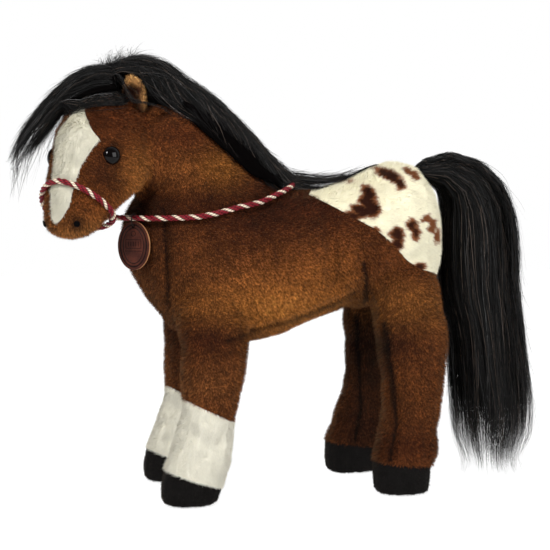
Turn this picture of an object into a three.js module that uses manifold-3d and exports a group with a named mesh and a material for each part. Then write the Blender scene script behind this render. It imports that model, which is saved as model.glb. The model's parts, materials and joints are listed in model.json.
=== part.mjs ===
// Plush pony standing on four legs, with its head turned to its left.
// Sewn plush skins over separate stuffings, safety eyes with their washers, long-pile mane, forelock and
// tail, and a twisted rope halter whose rein carries an oval tag.
// Millimetres. The pony faces -X, its left side is -Y, and it stands on Z = 0.
import * as THREE from 'three';
import { mergeVertices } from 'three/addons/utils/BufferGeometryUtils.js';
import Module from 'manifold-3d';

const wasm = await Module();
wasm.setup();

// Cloth and clearances
const skinThickness = 3;
const seamGap = 0.3;
const cutReach = 400;

// Torso, from the chest to the rump
const torsoLength = 264;
const torsoWidth = 108;
const torsoDepth = 147;
const bellyHeight = 119;
const torsoFullness = 2.3;

// Neck, from its root between the shoulders to the poll
const neckRootBack = 91;
const neckRootHeight = 212;
const neckReach = 68;
const neckRise = 76;
const neckTurn = 6;
const neckDepth = 116;
const neckWidth = 88;
const neckPinch = 0.16;

// Head, from the lips to the poll
const headHeight = 120;
const headDepth = 95;
const headWidth = 74;
const headBase = 202;
const headAhead = 38;
const headAside = 12;
const headTurn = 50;
const headPinch = 0.2;

// Face panel, a kite seen from the front of the head
const blazeWidth = 39;
const blazeLength = 90;
const blazeFoot = 12.5;

// Ears
const earHeight = 35;
const earWidth = 21;
const earDepth = 15;
const earWall = 3.4;
const earSpacing = 46;
const earBack = 10;
const earFoot = 92;
const earCupShift = 5;
const earLeast = 2.3;

// Safety eyes
const eyeDiameter = 14;
const eyeDomeHeight = 4.3;
const eyeSink = 1.2;
const eyeHeight = 63;
const eyeAngle = 58;
const shankDiameter = 4;
const shankLength = 9;
const washerDiameter = 11;
const washerThickness = 1.6;
const washerSeat = 0.9;

// Legs
const forelegHeight = 178;
const forelegLength = 51;
const forelegWidth = 46;
const forelegFootBack = 45.5;
const forelegHipBack = 66.5;
const hindlegHeight = 203;
const hindlegLength = 68;
const hindlegWidth = 50;
const hindlegLeftFootBack = 219;
const hindlegRightFootBack = 208.5;
const hindlegHipBack = 227;
const stanceWidth = 94;
const hipWidth = 56;

// Panels of the legs
const foreHoofFront = 28;
const foreHoofFall = 17;
const hindHoofFront = 26;
const hindHoofFall = 6;
const stockingFront = 82;
const stockingFall = 20;

// Mane and forelock
const maneWidth = 74;
const maneThickness = 16;
const maneDrop = 33;
const maneTip = 5;
const forelockReach = 72;
const forelockFall = 74;
const forelockDepth = 34;
const forelockWidth = 54;
const forelockTip = 8;

// Tail and the stub that it is sewn on
const dockDiameter = 14;
const dockPlace = 249;
const dockSeat = 1.2;
const tailReach = 62;
const tailFall = 254;
const tailDepth = 80;
const tailWidth = 54;
const tailSwing = 30;
const tailLift = 75;
const tailSweepSteps = 5;
const tailClearance = 0.6;

// Halter rope and tag
const ropeDiameter = 4.5;
const nosebandHeight = 43;
const nosebandFall = 78;
const tagWidth = 28;
const tagLength = 37;
const tagThickness = 1.8;
const tagHoleDiameter = 2.8;
const tagHoleInset = 3.6;
const threadDiameter = 1.1;
const threadGap = 0.35;

// Counts
const torsoSides = 22;
const headSides = 20;
const neckSides = 18;
const legSides = 13;
const hairSides = 12;
const dockSides = 16;
const earSides = 12;
const lockSides = 10;
const ropeSides = 8;
const eyeSides = 12;
const reinSteps = 38;
const nosebandSteps = 24;
const threadSteps = 16;
const threadSides = 5;
const tagSides = 12;

// Materials
const plushBrown = new THREE.MeshStandardMaterial({ color: 0x7c4420, roughness: 0.95, metalness: 0 });
const plushCream = new THREE.MeshStandardMaterial({ color: 0xece8d8, roughness: 0.95, metalness: 0 });
const plushWhite = new THREE.MeshStandardMaterial({ color: 0xf2f0e8, roughness: 0.95, metalness: 0 });
const plushBlack = new THREE.MeshStandardMaterial({ color: 0x141212, roughness: 0.95, metalness: 0 });
const hairBlack = new THREE.MeshStandardMaterial({ color: 0x121112, roughness: 0.6, metalness: 0 });
const eyePlastic = new THREE.MeshStandardMaterial({ color: 0x050505, roughness: 0.08, metalness: 0 });
const washerPlastic = new THREE.MeshStandardMaterial({ color: 0xe8e8e4, roughness: 0.5, metalness: 0 });
const ropeRed = new THREE.MeshStandardMaterial({ color: 0x8c1626, roughness: 0.7, metalness: 0 });
const tagBrown = new THREE.MeshStandardMaterial({ color: 0x5a3022, roughness: 0.55, metalness: 0 });
const threadBrown = new THREE.MeshStandardMaterial({ color: 0x2a1712, roughness: 0.8, metalness: 0 });
const fibre = new THREE.MeshStandardMaterial({ color: 0xf4f4f2, roughness: 1, metalness: 0 });

// Directions
const xAxis = new THREE.Vector3(1, 0, 0);
const yAxis = new THREE.Vector3(0, 1, 0);
const zAxis = new THREE.Vector3(0, 0, 1);
const radians = THREE.MathUtils.degToRad;

// Rows of a table whose first column rises, with smooth rows added between them
function smoothed(rows, perSpan = 1) {
  const keys = rows.map(([key]) => key);
  const cubic = new THREE.CubicInterpolant(keys, rows.flatMap((row) => row.slice(1)), rows[0].length - 1);
  const places = rows.slice(1).flatMap(([end], k) =>
    Array.from({ length: perSpan }, (_, step) => keys[k] + ((end - keys[k]) * step) / perSpan));
  places.push(keys.at(-1));
  return places.map((place) => [place, ...cubic.evaluate(place)]);
}

// The table's values at one key
function rowAt(rows, key) {
  const keys = rows.map(([first]) => first);
  const cubic = new THREE.CubicInterpolant(keys, rows.flatMap((row) => row.slice(1)), rows[0].length - 1);
  return [...cubic.evaluate(THREE.MathUtils.clamp(key, keys[0], keys.at(-1)))];
}

// One point of an oval: axisA at angle 0, fuller than an ellipse over power 2, narrower towards axisA by pinch
function ovalPoint(centre, axisA, axisB, halfA, halfB, angle, power = 2, pinch = 0) {
  const blunt = (value) => Math.sign(value) * Math.abs(value) ** (2 / power);
  return centre.clone()
    .addScaledVector(axisA, blunt(Math.cos(angle)) * halfA)
    .addScaledVector(axisB, blunt(Math.sin(angle)) * (1 - pinch * Math.cos(angle)) * halfB);
}

function ovalRing(centre, axisA, axisB, halfA, halfB, sides, power, pinch) {
  return Array.from({ length: sides }, (_, k) =>
    ovalPoint(centre, axisA, axisB, halfA, halfB, (2 * Math.PI * k) / sides, power, pinch));
}

// Turns a closed surface so that its faces point outwards
function facingOut(geometry) {
  const index = geometry.getIndex().array;
  const place = geometry.getAttribute('position');
  const corner = (k) => new THREE.Vector3().fromBufferAttribute(place, index[k]);
  let volume = 0;
  for (let k = 0; k < index.length; k += 3) {
    volume += corner(k).dot(corner(k + 1).cross(corner(k + 2)));
  }
  if (volume < 0) {
    index.reverse();
  }
  return geometry;
}

// Closed surface over a row of rings, with one point closing each end
function loft(rings, first, last) {
  const sides = rings[0].length;
  const points = [...rings.flat(), first, last];
  const at = (ring, side) => ring * sides + (side % sides);
  const faces = [];
  for (let side = 0; side < sides; side += 1) {
    for (let ring = 0; ring < rings.length - 1; ring += 1) {
      faces.push(at(ring, side), at(ring, side + 1), at(ring + 1, side + 1));
      faces.push(at(ring, side), at(ring + 1, side + 1), at(ring + 1, side));
    }
    faces.push(points.length - 2, at(0, side + 1), at(0, side));
    faces.push(points.length - 1, at(rings.length - 1, side), at(rings.length - 1, side + 1));
  }
  const geometry = new THREE.BufferGeometry().setFromPoints(points);
  geometry.setIndex(faces);
  return facingOut(geometry);
}

// Closed ring of tube through points that return to their start
function closedTube(points, radius, sides) {
  const rings = points.map((point, k) => {
    const before = points.at(k - 1);
    const after = points[(k + 1) % points.length];
    const along = after.clone().sub(before).normalize();
    const across = new THREE.Vector3().crossVectors(along, zAxis).normalize();
    return ovalRing(point, across, new THREE.Vector3().crossVectors(across, along), radius, radius, sides);
  });
  const at = (ring, side) => (ring % rings.length) * sides + (side % sides);
  const faces = rings.flatMap((ring, k) => ring.flatMap((_, side) => [
    at(k, side), at(k, side + 1), at(k + 1, side + 1), at(k, side), at(k + 1, side + 1), at(k + 1, side),
  ]));
  const geometry = new THREE.BufferGeometry().setFromPoints(rings.flat());
  geometry.setIndex(faces);
  return facingOut(geometry);
}

// A copy of a smooth surface, moved out along its normals, or in where distance is negative
function swollen(geometry, distance) {
  const copy = geometry.clone();
  copy.computeVertexNormals();
  const place = copy.getAttribute('position');
  const normal = copy.getAttribute('normal');
  for (let k = 0; k < place.count; k += 1) {
    const moved = new THREE.Vector3().fromBufferAttribute(place, k);
    moved.addScaledVector(new THREE.Vector3().fromBufferAttribute(normal, k), distance);
    place.setXYZ(k, moved.x, moved.y, moved.z);
  }
  return copy;
}

function toSolid(geometry) {
  const bare = geometry.clone();
  bare.deleteAttribute('normal');
  bare.deleteAttribute('uv');
  const merged = facingOut(mergeVertices(bare));
  return new wasm.Manifold(new wasm.Mesh({
    numProp: 3,
    vertProperties: new Float32Array(merged.getAttribute('position').array),
    triVerts: new Uint32Array(merged.getIndex().array),
  }));
}

function toGeometry(solid) {
  const { numProp, vertProperties, triVerts } = solid.getMesh();
  const geometry = new THREE.BufferGeometry();
  const places = new Float32Array((vertProperties.length / numProp) * 3);
  for (let k = 0; k < places.length / 3; k += 1) {
    places.set(vertProperties.subarray(k * numProp, k * numProp + 3), k * 3);
  }
  geometry.setAttribute('position', new THREE.BufferAttribute(places, 3));
  geometry.setIndex(new THREE.BufferAttribute(new Uint32Array(triVerts), 1));
  return geometry;
}

// A cut can leave slivers where two curved skins just graze: the panel itself is the largest body
function wholePanel(solid) {
  return solid.decompose().sort((one, other) => other.volume() - one.volume())[0];
}

const without = (solid, ...cutters) => cutters.reduce((rest, cutter) => rest.subtract(cutter), solid);

// Outline moved outwards by a distance, for the seam between a panel and the skin round it
function widened(outline, distance) {
  const turn = Math.sign(THREE.ShapeUtils.area(outline));
  return outline.map((point, k) => {
    const before = outline.at(k - 1);
    const after = outline[(k + 1) % outline.length];
    const one = point.clone().sub(before).normalize();
    const two = after.clone().sub(point).normalize();
    const outward = new THREE.Vector2(one.y + two.y, -one.x - two.x).normalize();
    return point.clone().addScaledVector(outward, turn * distance);
  });
}

// Prism of an outline drawn in a plane: the outline's x runs along right, its y along Z
function prism(outline, origin, right, depth) {
  const geometry = new THREE.ExtrudeGeometry(new THREE.Shape(outline), { depth, bevelEnabled: false });
  const out = new THREE.Vector3().crossVectors(right, zAxis);
  geometry.applyMatrix4(new THREE.Matrix4().makeBasis(right, zAxis, out).setPosition(origin));
  return toSolid(geometry);
}

// Everything below a plane that falls towards +X, as a block
function below(x, z, fallAngle) {
  const block = new THREE.BoxGeometry(cutReach, cutReach, cutReach);
  block.translate(0, 0, -cutReach / 2);
  block.rotateY(fallAngle);
  block.translate(x, 0, z);
  return toSolid(block);
}

// Torso: distance from the chest, then underside, back and breadth, as shares
const torsoSectionShares = [
  [0.000, 0.578, 0.578, 0.00],
  [0.011, 0.480, 0.700, 0.28],
  [0.038, 0.370, 0.796, 0.50],
  [0.083, 0.235, 0.864, 0.685],
  [0.155, 0.085, 0.905, 0.824],
  [0.250, 0.014, 0.912, 0.907],
  [0.364, 0.000, 0.884, 0.944],
  [0.477, 0.034, 0.850, 0.954],
  [0.591, 0.108, 0.844, 0.944],
  [0.686, 0.160, 0.884, 0.963],
  [0.773, 0.184, 0.959, 1.00],
  [0.848, 0.190, 1.000, 0.981],
  [0.913, 0.224, 0.973, 0.870],
  [0.962, 0.275, 0.878, 0.700],
  [0.989, 0.360, 0.760, 0.430],
  [1.000, 0.560, 0.560, 0.00],
];

function torsoPoint([along, under, back, breadth], angle) {
  const centre = new THREE.Vector3(along * torsoLength, 0, bellyHeight + ((under + back) / 2) * torsoDepth);
  const halfDepth = ((back - under) / 2) * torsoDepth;
  return ovalPoint(centre, zAxis, yAxis, halfDepth, (breadth * torsoWidth) / 2, angle, torsoFullness);
}

function torsoForm() {
  const rows = smoothed(torsoSectionShares);
  const rings = rows.slice(1, -1).map((row) => Array.from({ length: torsoSides }, (_, k) =>
    torsoPoint(row, (2 * Math.PI * k) / torsoSides)));
  return loft(rings, torsoPoint(rows[0], 0), torsoPoint(rows.at(-1), 0));
}

// The middle of the back, at a distance from the chest
function backPoint(distance) {
  const share = distance / torsoLength;
  return torsoPoint([share, ...rowAt(torsoSectionShares, share)], 0);
}

// Neck: place along it, then crest, throat and breadth, as shares
const neckSectionShares = [
  [0.00, 1.00, 1.00, 1.00],
  [0.35, 0.90, 0.82, 0.90],
  [0.70, 0.82, 0.62, 0.78],
  [1.00, 0.70, 0.52, 0.66],
  [1.14, 0.50, 0.40, 0.48],
];

const neckRoot = new THREE.Vector3(neckRootBack, 0, neckRootHeight);
const neckAlong = new THREE.Vector3(-neckReach, -neckTurn, neckRise);
const crestward = new THREE.Vector3().crossVectors(neckAlong, yAxis).normalize().negate();

function neckRing([along, crest, throat, breadth]) {
  const half = neckDepth / 2;
  const centre = neckRoot.clone().addScaledVector(neckAlong, along)
    .addScaledVector(crestward, ((crest - throat) / 2) * half);
  const reach = ((crest + throat) / 2) * half;
  const halfBreadth = (breadth * neckWidth) / 2;
  return ovalRing(centre, crestward, yAxis, reach, halfBreadth, neckSides, 2, neckPinch);
}

function neckForm() {
  const rows = smoothed(neckSectionShares);
  const end = (row) => neckRoot.clone().addScaledVector(neckAlong, row[0]);
  return loft(rows.map(neckRing), end(rows[0]), end(rows.at(-1)));
}

// The neck's crest, at a share of its length
function crestPoint(share) {
  const [crest] = rowAt(neckSectionShares, share);
  return neckRoot.clone().addScaledVector(neckAlong, share).addScaledVector(crestward, (crest * neckDepth) / 2);
}

// Head: height above the lips, then place ahead of the head's middle, half depth and half breadth, as shares
const headSectionShares = [
  [0.000, 0.442, 0.000, 0.000],
  [0.017, 0.442, 0.253, 0.320],
  [0.058, 0.432, 0.432, 0.547],
  [0.125, 0.400, 0.547, 0.680],
  [0.208, 0.305, 0.674, 0.800],
  [0.292, 0.199, 0.862, 0.933],
  [0.392, 0.099, 0.998, 0.987],
  [0.533, 0.026, 1.030, 1.000],
  [0.683, 0.010, 0.946, 0.947],
  [0.808, -0.032, 0.779, 0.800],
  [0.908, -0.053, 0.526, 0.560],
  [0.975, -0.063, 0.253, 0.267],
  [1.000, -0.063, 0.000, 0.000],
];

const headMiddle = neckRoot.clone().add(neckAlong).add(new THREE.Vector3(-headAhead, -headAside, 0)).setZ(headBase);
const headForward = new THREE.Vector3(-Math.cos(radians(headTurn)), -Math.sin(radians(headTurn)), 0);
const headLeft = new THREE.Vector3().crossVectors(zAxis, headForward);

// A place given ahead of the head's middle, to its left, and above the lips
function headPlace(ahead, aside, height) {
  return headMiddle.clone().addScaledVector(headForward, ahead).addScaledVector(headLeft, aside)
    .addScaledVector(zAxis, height);
}

// A point on the head's skin: angle 0 is the middle of the face, a quarter turn the left cheek
function headPoint(share, angle) {
  const [ahead, depth, breadth] = rowAt(headSectionShares, share);
  const centre = headPlace(ahead * headDepth, 0, share * headHeight);
  const halfDepth = (depth * headDepth) / 2;
  return ovalPoint(centre, headForward, headLeft, halfDepth, (breadth * headWidth) / 2, angle, 2, headPinch);
}

function headNormal(share, angle) {
  const step = 0.01;
  const over = headPoint(share, angle + step).sub(headPoint(share, angle - step));
  const rise = headPoint(share + step, angle).sub(headPoint(share - step, angle));
  return over.cross(rise).normalize();
}

function headForm() {
  const shares = smoothed(headSectionShares).map(([share]) => share);
  const rings = shares.slice(1, -1).map((share) => Array.from({ length: headSides }, (_, k) =>
    headPoint(share, (2 * Math.PI * k) / headSides)));
  return loft(rings, headPoint(shares[0], 0), headPoint(shares.at(-1), 0));
}

// Legs: height, then how far back and how far inwards towards the hip, half length and half breadth, as shares
const forelegShares = [
  [0.000, 0.00, 0.00, 0.76, 0.84],
  [0.022, 0.02, 0.00, 0.90, 0.95],
  [0.079, 0.09, 0.00, 0.98, 1.00],
  [0.157, 0.25, 0.02, 0.99, 1.00],
  [0.281, 0.55, 0.08, 0.90, 0.91],
  [0.393, 0.72, 0.14, 0.85, 0.85],
  [0.506, 0.87, 0.22, 0.90, 0.87],
  [0.663, 1.00, 0.48, 0.98, 0.96],
  [0.787, 1.00, 0.74, 1.10, 1.04],
  [0.899, 1.00, 0.95, 1.02, 0.96],
  [0.966, 1.00, 1.00, 0.67, 0.61],
  [1.000, 1.00, 1.00, 0.00, 0.00],
];
const hindlegShares = [
  [0.000, 0.00, 0.00, 0.62, 0.80],
  [0.020, 0.00, 0.00, 0.70, 0.90],
  [0.069, 0.00, 0.00, 0.73, 0.94],
  [0.138, 0.06, 0.00, 0.74, 0.92],
  [0.246, 0.35, 0.03, 0.70, 0.84],
  [0.345, 0.68, 0.08, 0.69, 0.82],
  [0.443, 0.90, 0.16, 0.71, 0.84],
  [0.562, 1.00, 0.32, 0.80, 0.92],
  [0.690, 0.86, 0.55, 0.87, 1.00],
  [0.813, 0.62, 0.80, 0.93, 1.00],
  [0.911, 0.45, 0.95, 0.84, 0.84],
  [0.970, 0.40, 1.00, 0.53, 0.52],
  [1.000, 0.40, 1.00, 0.00, 0.00],
];

// side is -1 for the left leg and 1 for the right
function legForm({ shares, height, length, width, footBack, hipBack, side }) {
  const middle = ([up, swept, inward]) => new THREE.Vector3(
    THREE.MathUtils.lerp(footBack, hipBack, swept),
    (side * THREE.MathUtils.lerp(stanceWidth, hipWidth, inward)) / 2,
    up * height,
  );
  const rows = smoothed(shares);
  const rings = rows.slice(0, -1).map((row) => ovalRing(
    middle(row), xAxis, yAxis, (row[3] * length) / 2, (row[4] * width) / 2, legSides, torsoFullness));
  return loft(rings, middle(rows[0]), middle(rows.at(-1)));
}

const foreleg = {
  shares: forelegShares, height: forelegHeight, length: forelegLength, width: forelegWidth, hipBack: forelegHipBack,
  footBack: forelegFootBack, hoofFront: foreHoofFront, hoofFall: foreHoofFall, stocking: true,
};
const hindleg = {
  shares: hindlegShares, height: hindlegHeight, length: hindlegLength, width: hindlegWidth, hipBack: hindlegHipBack,
  hoofFront: hindHoofFront, hoofFall: hindHoofFall, stocking: false,
};
const legs = [
  { name: 'foreleg_left', side: -1, ...foreleg },
  { name: 'foreleg_right', side: 1, ...foreleg },
  { name: 'hindleg_left', side: -1, footBack: hindlegLeftFootBack, ...hindleg },
  { name: 'hindleg_right', side: 1, footBack: hindlegRightFootBack, ...hindleg },
];

// Forms of the body, each with its inside and with the room that its neighbours leave round it
function bodyForm(form) {
  return {
    outer: toSolid(form),
    inner: toSolid(swollen(form, -skinThickness)),
    filling: toSolid(swollen(form, -skinThickness - seamGap)),
    room: toSolid(swollen(form, seamGap)),
  };
}

const torso = bodyForm(torsoForm());
const neck = bodyForm(neckForm());
const head = bodyForm(headForm());
legs.forEach((leg) => Object.assign(leg, bodyForm(legForm(leg))));

// Group that holds every piece, and the function that adds one
const pony = new THREE.Group();

function addPiece(name, shape, material) {
  const geometry = shape.isBufferGeometry ? facingOut(shape) : toGeometry(shape);
  const piece = new THREE.Mesh(geometry, material);
  piece.name = name;
  pony.add(piece);
  return piece;
}

// Torso skin, with its rump patch and belly gusset
const patchOutlineShares = [
  [0.560, 0.805], [0.605, 0.755], [0.665, 0.690], [0.735, 0.620], [0.785, 0.545], [0.830, 0.440], [0.870, 0.395],
  [0.960, 0.375], [1.060, 0.350], [1.060, 1.100], [0.690, 1.100], [0.650, 0.930],
];
const gussetOutlineShares = [
  [0.355, -0.100], [0.355, 0.090], [0.450, 0.105], [0.560, 0.150], [0.660, 0.215], [0.690, -0.100],
];

function torsoOutline(shares) {
  return shares.map(([along, up]) => new THREE.Vector2(along * torsoLength, bellyHeight + up * torsoDepth));
}

function torsoPrism(outline) {
  return prism(outline, new THREE.Vector3(0, cutReach / 2, 0), xAxis, cutReach);
}

function addTorso() {
  const openings = [neck.inner, ...legs.map(({ inner }) => inner)];
  const skin = without(torso.outer, torso.inner, ...openings);
  const patch = torsoOutline(patchOutlineShares);
  const gusset = torsoOutline(gussetOutlineShares);
  addPiece('torso_skin', wholePanel(without(
    skin, torsoPrism(widened(patch, seamGap)), torsoPrism(widened(gusset, seamGap)))), plushBrown);
  addPiece('rump_patch', wholePanel(skin.intersect(torsoPrism(patch))), plushCream);
  addPiece('belly_gusset', wholePanel(skin.intersect(torsoPrism(gusset))), plushBrown);
  addPiece('torso_filling', torso.filling, fibre);
}

function addNeck() {
  addPiece('neck_skin', wholePanel(without(neck.outer, neck.inner, torso.room, head.room)), plushBrown);
  addPiece('neck_filling', wholePanel(without(neck.filling, torso.inner, head.inner)), fibre);
}

// Safety eye: a dome seated on the skin, its shank through the skin, and a washer inside
function eyeSeat(side) {
  const angle = -side * radians(eyeAngle);
  const share = eyeHeight / headHeight;
  const outward = headNormal(share, angle);
  const turn = new THREE.Quaternion().setFromUnitVectors(yAxis, outward);
  return new THREE.Matrix4().compose(headPoint(share, angle), turn, new THREE.Vector3(1, 1, 1));
}

// Solid of revolution from a profile of [radius, height out of the skin]
function turned(profile, seat, sides = eyeSides) {
  const geometry = new THREE.LatheGeometry(profile.map(([r, y]) => new THREE.Vector2(r, y)), sides);
  return toSolid(geometry.applyMatrix4(seat));
}

function drum(radius, from, to, seat) {
  return turned([[0, from], [radius, from], [radius, to], [0, to]], seat);
}

function eyeParts(side) {
  const seat = eyeSeat(side);
  const radius = eyeDiameter / 2;
  const shank = shankDiameter / 2;
  const dome = new THREE.SphereGeometry(radius, eyeSides, eyeSides / 2)
    .scale(1, eyeDomeHeight / radius, 1).translate(0, -eyeSink, 0).applyMatrix4(seat);
  const washerTop = -skinThickness - washerSeat;
  const washerEnd = washerTop - washerThickness;
  const washer = washerDiameter / 2;
  const bore = shank + seamGap;
  const ring = [[bore, washerTop], [washer, washerTop], [washer, washerEnd], [bore, washerEnd], [bore, washerTop]];
  const pocket = drum(washer + seamGap, seamGap, washerEnd - seamGap, seat);
  return {
    eye: without(toSolid(dome), head.room).add(drum(shank, -shankLength, eyeSink, seat)),
    washer: turned(ring, seat),
    hole: drum(bore, -shankLength - seamGap, eyeSink, seat),
    pocket: pocket.add(drum(bore, -shankLength - seamGap, eyeSink, seat)),
  };
}

// Kite of the face panel, seen from the front of the head: place across, then height, as shares
const blazeShares = [
  [0, 0], [0.26, 0.045], [0.43, 0.144], [0.51, 0.267], [0.62, 0.467], [1, 0.690], [0, 1],
  [-1, 0.690], [-0.62, 0.467], [-0.51, 0.267], [-0.43, 0.144], [-0.26, 0.045],
];

function blazePrism(seam) {
  const outline = blazeShares.map(([across, up]) =>
    new THREE.Vector2((across * blazeWidth) / 2, blazeFoot + up * blazeLength));
  const shape = seam ? widened(outline, seam) : outline;
  return prism(shape, headMiddle, headLeft, cutReach);
}

function addHead() {
  const eyes = { left: eyeParts(-1), right: eyeParts(1) };
  const pair = Object.values(eyes);
  const skin = without(head.outer, head.inner, neck.inner, ...pair.map(({ hole }) => hole));
  addPiece('head_skin', wholePanel(without(skin, blazePrism(seamGap))), plushBrown);
  addPiece('face_blaze', wholePanel(skin.intersect(blazePrism(0))), plushWhite);
  addPiece('head_filling', wholePanel(without(head.filling, ...pair.map(({ pocket }) => pocket))), fibre);
  Object.entries(eyes).forEach(([side, { eye, washer }]) => {
    addPiece(`eye_${side}`, wholePanel(eye), eyePlastic);
    addPiece(`eye_washer_${side}`, washer, washerPlastic);
  });
}

// Ear: place along it, then curl forward, half breadth and half depth, as shares
const earShares = [
  [0.00, 0.00, 0.62, 0.80],
  [0.20, 0.00, 0.86, 0.98],
  [0.45, 0.05, 1.00, 1.00],
  [0.70, 0.20, 0.90, 0.86],
  [0.88, 0.48, 0.62, 0.60],
  [0.97, 0.72, 0.30, 0.32],
  [1.00, 0.86, 0.00, 0.00],
];

function earForm(side, shrink, shift) {
  const aside = -side * earSpacing / 2;
  const middle = ([along, curl]) => headPlace(
    -earBack + curl * earDepth + shift, aside, earFoot + along * (earHeight - shrink));
  const rows = smoothed(earShares);
  const size = (share, full) => Math.max((share * full) / 2 - shrink, share * earLeast);
  const rings = rows.slice(0, -1).map((row) => ovalRing(
    middle(row), headForward, headLeft, size(row[3], earDepth), size(row[2], earWidth), earSides));
  const form = loft(rings, middle(rows[0]), middle(rows.at(-1)));
  return form.applyMatrix4(new THREE.Matrix4().makeTranslation(0, 0, -shift / 2 + shrink));
}

const ears = [-1, 1].map((side) => ({
  outer: earForm(side, 0, 0),
  cup: toSolid(earForm(side, earWall, earCupShift)),
}));

function addEars() {
  ears.forEach(({ outer, cup }, k) => {
    const shell = without(toSolid(outer), cup, head.room, neck.room);
    addPiece(k === 0 ? 'ear_left' : 'ear_right', wholePanel(shell), plushBrown);
  });
}

// Legs: a sleeve, on the forelegs a stocking, a hoof, and the stuffing inside
function addLeg(leg) {
  const { name, outer, inner, filling, length, footBack, hipBack, hoofFront, hoofFall, stocking } = leg;
  const skin = without(outer, inner, torso.room);
  const toe = footBack - length / 2;
  const hoofSlant = Math.atan2(hoofFall, length);
  const hoofCut = below(toe, hoofFront, hoofSlant);
  const hoofSeam = below(toe, hoofFront + seamGap, hoofSlant);
  const rest = without(skin, hoofSeam);
  addPiece(`${name}_hoof`, wholePanel(skin.intersect(hoofCut)), plushBlack);
  if (stocking) {
    const slant = Math.atan2(stockingFall, length);
    const knee = hipBack - length / 2;
    addPiece(`${name}_stocking`, wholePanel(rest.intersect(below(knee, stockingFront, slant))), plushWhite);
    addPiece(`${name}_skin`, wholePanel(without(rest, below(knee, stockingFront + seamGap, slant))), plushBrown);
  } else {
    addPiece(`${name}_skin`, wholePanel(rest), plushBrown);
  }
  addPiece(`${name}_filling`, wholePanel(without(filling, torso.inner)), fibre);
}

// Mane: from the poll down the neck's crest, then a thin line along the back
const manePollShares = [
  [0.90, 0.40, 0.54, 0.80],
  [0.66, 0.52, 0.62, 0.95],
  [0.33, 0.36, 0.70, 1.00],
];
const maneNeckShares = [
  [0.98, 0.80, 0.84],
  [0.80, 0.94, 0.82],
  [0.60, 1.00, 0.82],
  [0.42, 1.00, 0.74],
  [0.26, 1.00, 0.66],
  [0.10, 0.92, 0.62],
];
const maneBackShares = [
  [0.485, 0.64, 0.92],
  [0.515, 0.50, 0.94],
  [0.555, 0.40, 0.92],
  [0.600, 0.32, 0.74],
  [0.650, 0.26, 0.54],
  [0.700, 0.20, 0.32],
  [0.745, 0.12, 0.14],
];

function maneForm() {
  const poll = headPoint(1, 0);
  const path = [
    ...manePollShares.map(([forward, rise, breadth, thick]) => ({
      place: crestPoint(1).lerp(poll, forward).addScaledVector(zAxis, rise * maneThickness), breadth, thick,
    })),
    ...maneNeckShares.map(([share, breadth, thick]) => ({ place: crestPoint(share), breadth, thick })),
    ...maneBackShares.map(([share, breadth, thick]) => ({ place: backPoint(share * torsoLength), breadth, thick })),
  ];
  const rings = path.map(({ place, breadth, thick }, k) => {
    const before = path[Math.max(k - 1, 0)].place;
    const after = path[Math.min(k + 1, path.length - 1)].place;
    const along = after.clone().sub(before).normalize();
    const outward = new THREE.Vector3().crossVectors(yAxis, along).normalize().negate();
    const rise = maneThickness * thick;
    const drop = maneDrop * breadth;
    const centre = place.clone().addScaledVector(outward, (rise - drop) / 2);
    return ovalRing(centre, outward, yAxis, (rise + drop) / 2, (breadth * maneWidth) / 2, hairSides, 2);
  });
  const end = (k) => path.at(k).place.clone().addScaledVector(
    path.at(k).place.clone().sub(path.at(k === 0 ? 1 : k - 1).place).normalize(), maneTip);
  return loft(rings, end(0), end(-1));
}

// Forelock: ahead of the poll, rise above it, then half depth and half breadth, as shares
const forelockShares = [
  [-0.22, -0.04, 0.72, 0.70],
  [-0.05, 0.01, 0.92, 0.88],
  [0.14, -0.03, 1.14, 1.00],
  [0.32, -0.11, 1.14, 0.96],
  [0.50, -0.24, 1.02, 0.82],
  [0.66, -0.38, 0.82, 0.62],
  [0.82, -0.56, 0.60, 0.42],
  [0.94, -0.74, 0.38, 0.24],
  [1.00, -0.88, 0.14, 0.10],
];

function forelockForm() {
  const poll = headPoint(1, 0);
  const rows = forelockShares.map(([ahead, rise, depth, breadth]) => ({
    place: poll.clone().add(new THREE.Vector3(-ahead * forelockReach, -ahead * headAside, rise * forelockFall)),
    depth, breadth,
  }));
  const rings = rows.map(({ place, depth, breadth }, k) => {
    const along = rows[Math.min(k + 1, rows.length - 1)].place.clone().sub(rows[Math.max(k - 1, 0)].place);
    const outward = new THREE.Vector3().crossVectors(along, yAxis).normalize();
    return ovalRing(place, outward, yAxis, (depth * forelockDepth) / 2, (breadth * forelockWidth) / 2, lockSides);
  });
  const tip = rows.at(-1).place.clone().addScaledVector(zAxis, -forelockTip);
  return loft(rings, rows[0].place, tip);
}

// Halter: the noseband lies on the head in a plane that falls towards the chin
function nosebandPath() {
  const front = headPoint(nosebandHeight / headHeight, 0);
  const slope = nosebandFall / headDepth;
  return Array.from({ length: nosebandSteps }, (_, k) => {
    const angle = (2 * Math.PI * k) / nosebandSteps;
    let share = nosebandHeight / headHeight;
    for (let pass = 0; pass < nosebandSteps; pass += 1) {
      const back = front.clone().sub(headPoint(share, angle)).dot(headForward);
      share = THREE.MathUtils.lerp(share, (nosebandHeight - back * slope) / headHeight, 1 / 2);
    }
    const place = headPoint(share, angle);
    return place.addScaledVector(headNormal(share, angle), ropeDiameter / 2 + seamGap);
  });
}

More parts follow.
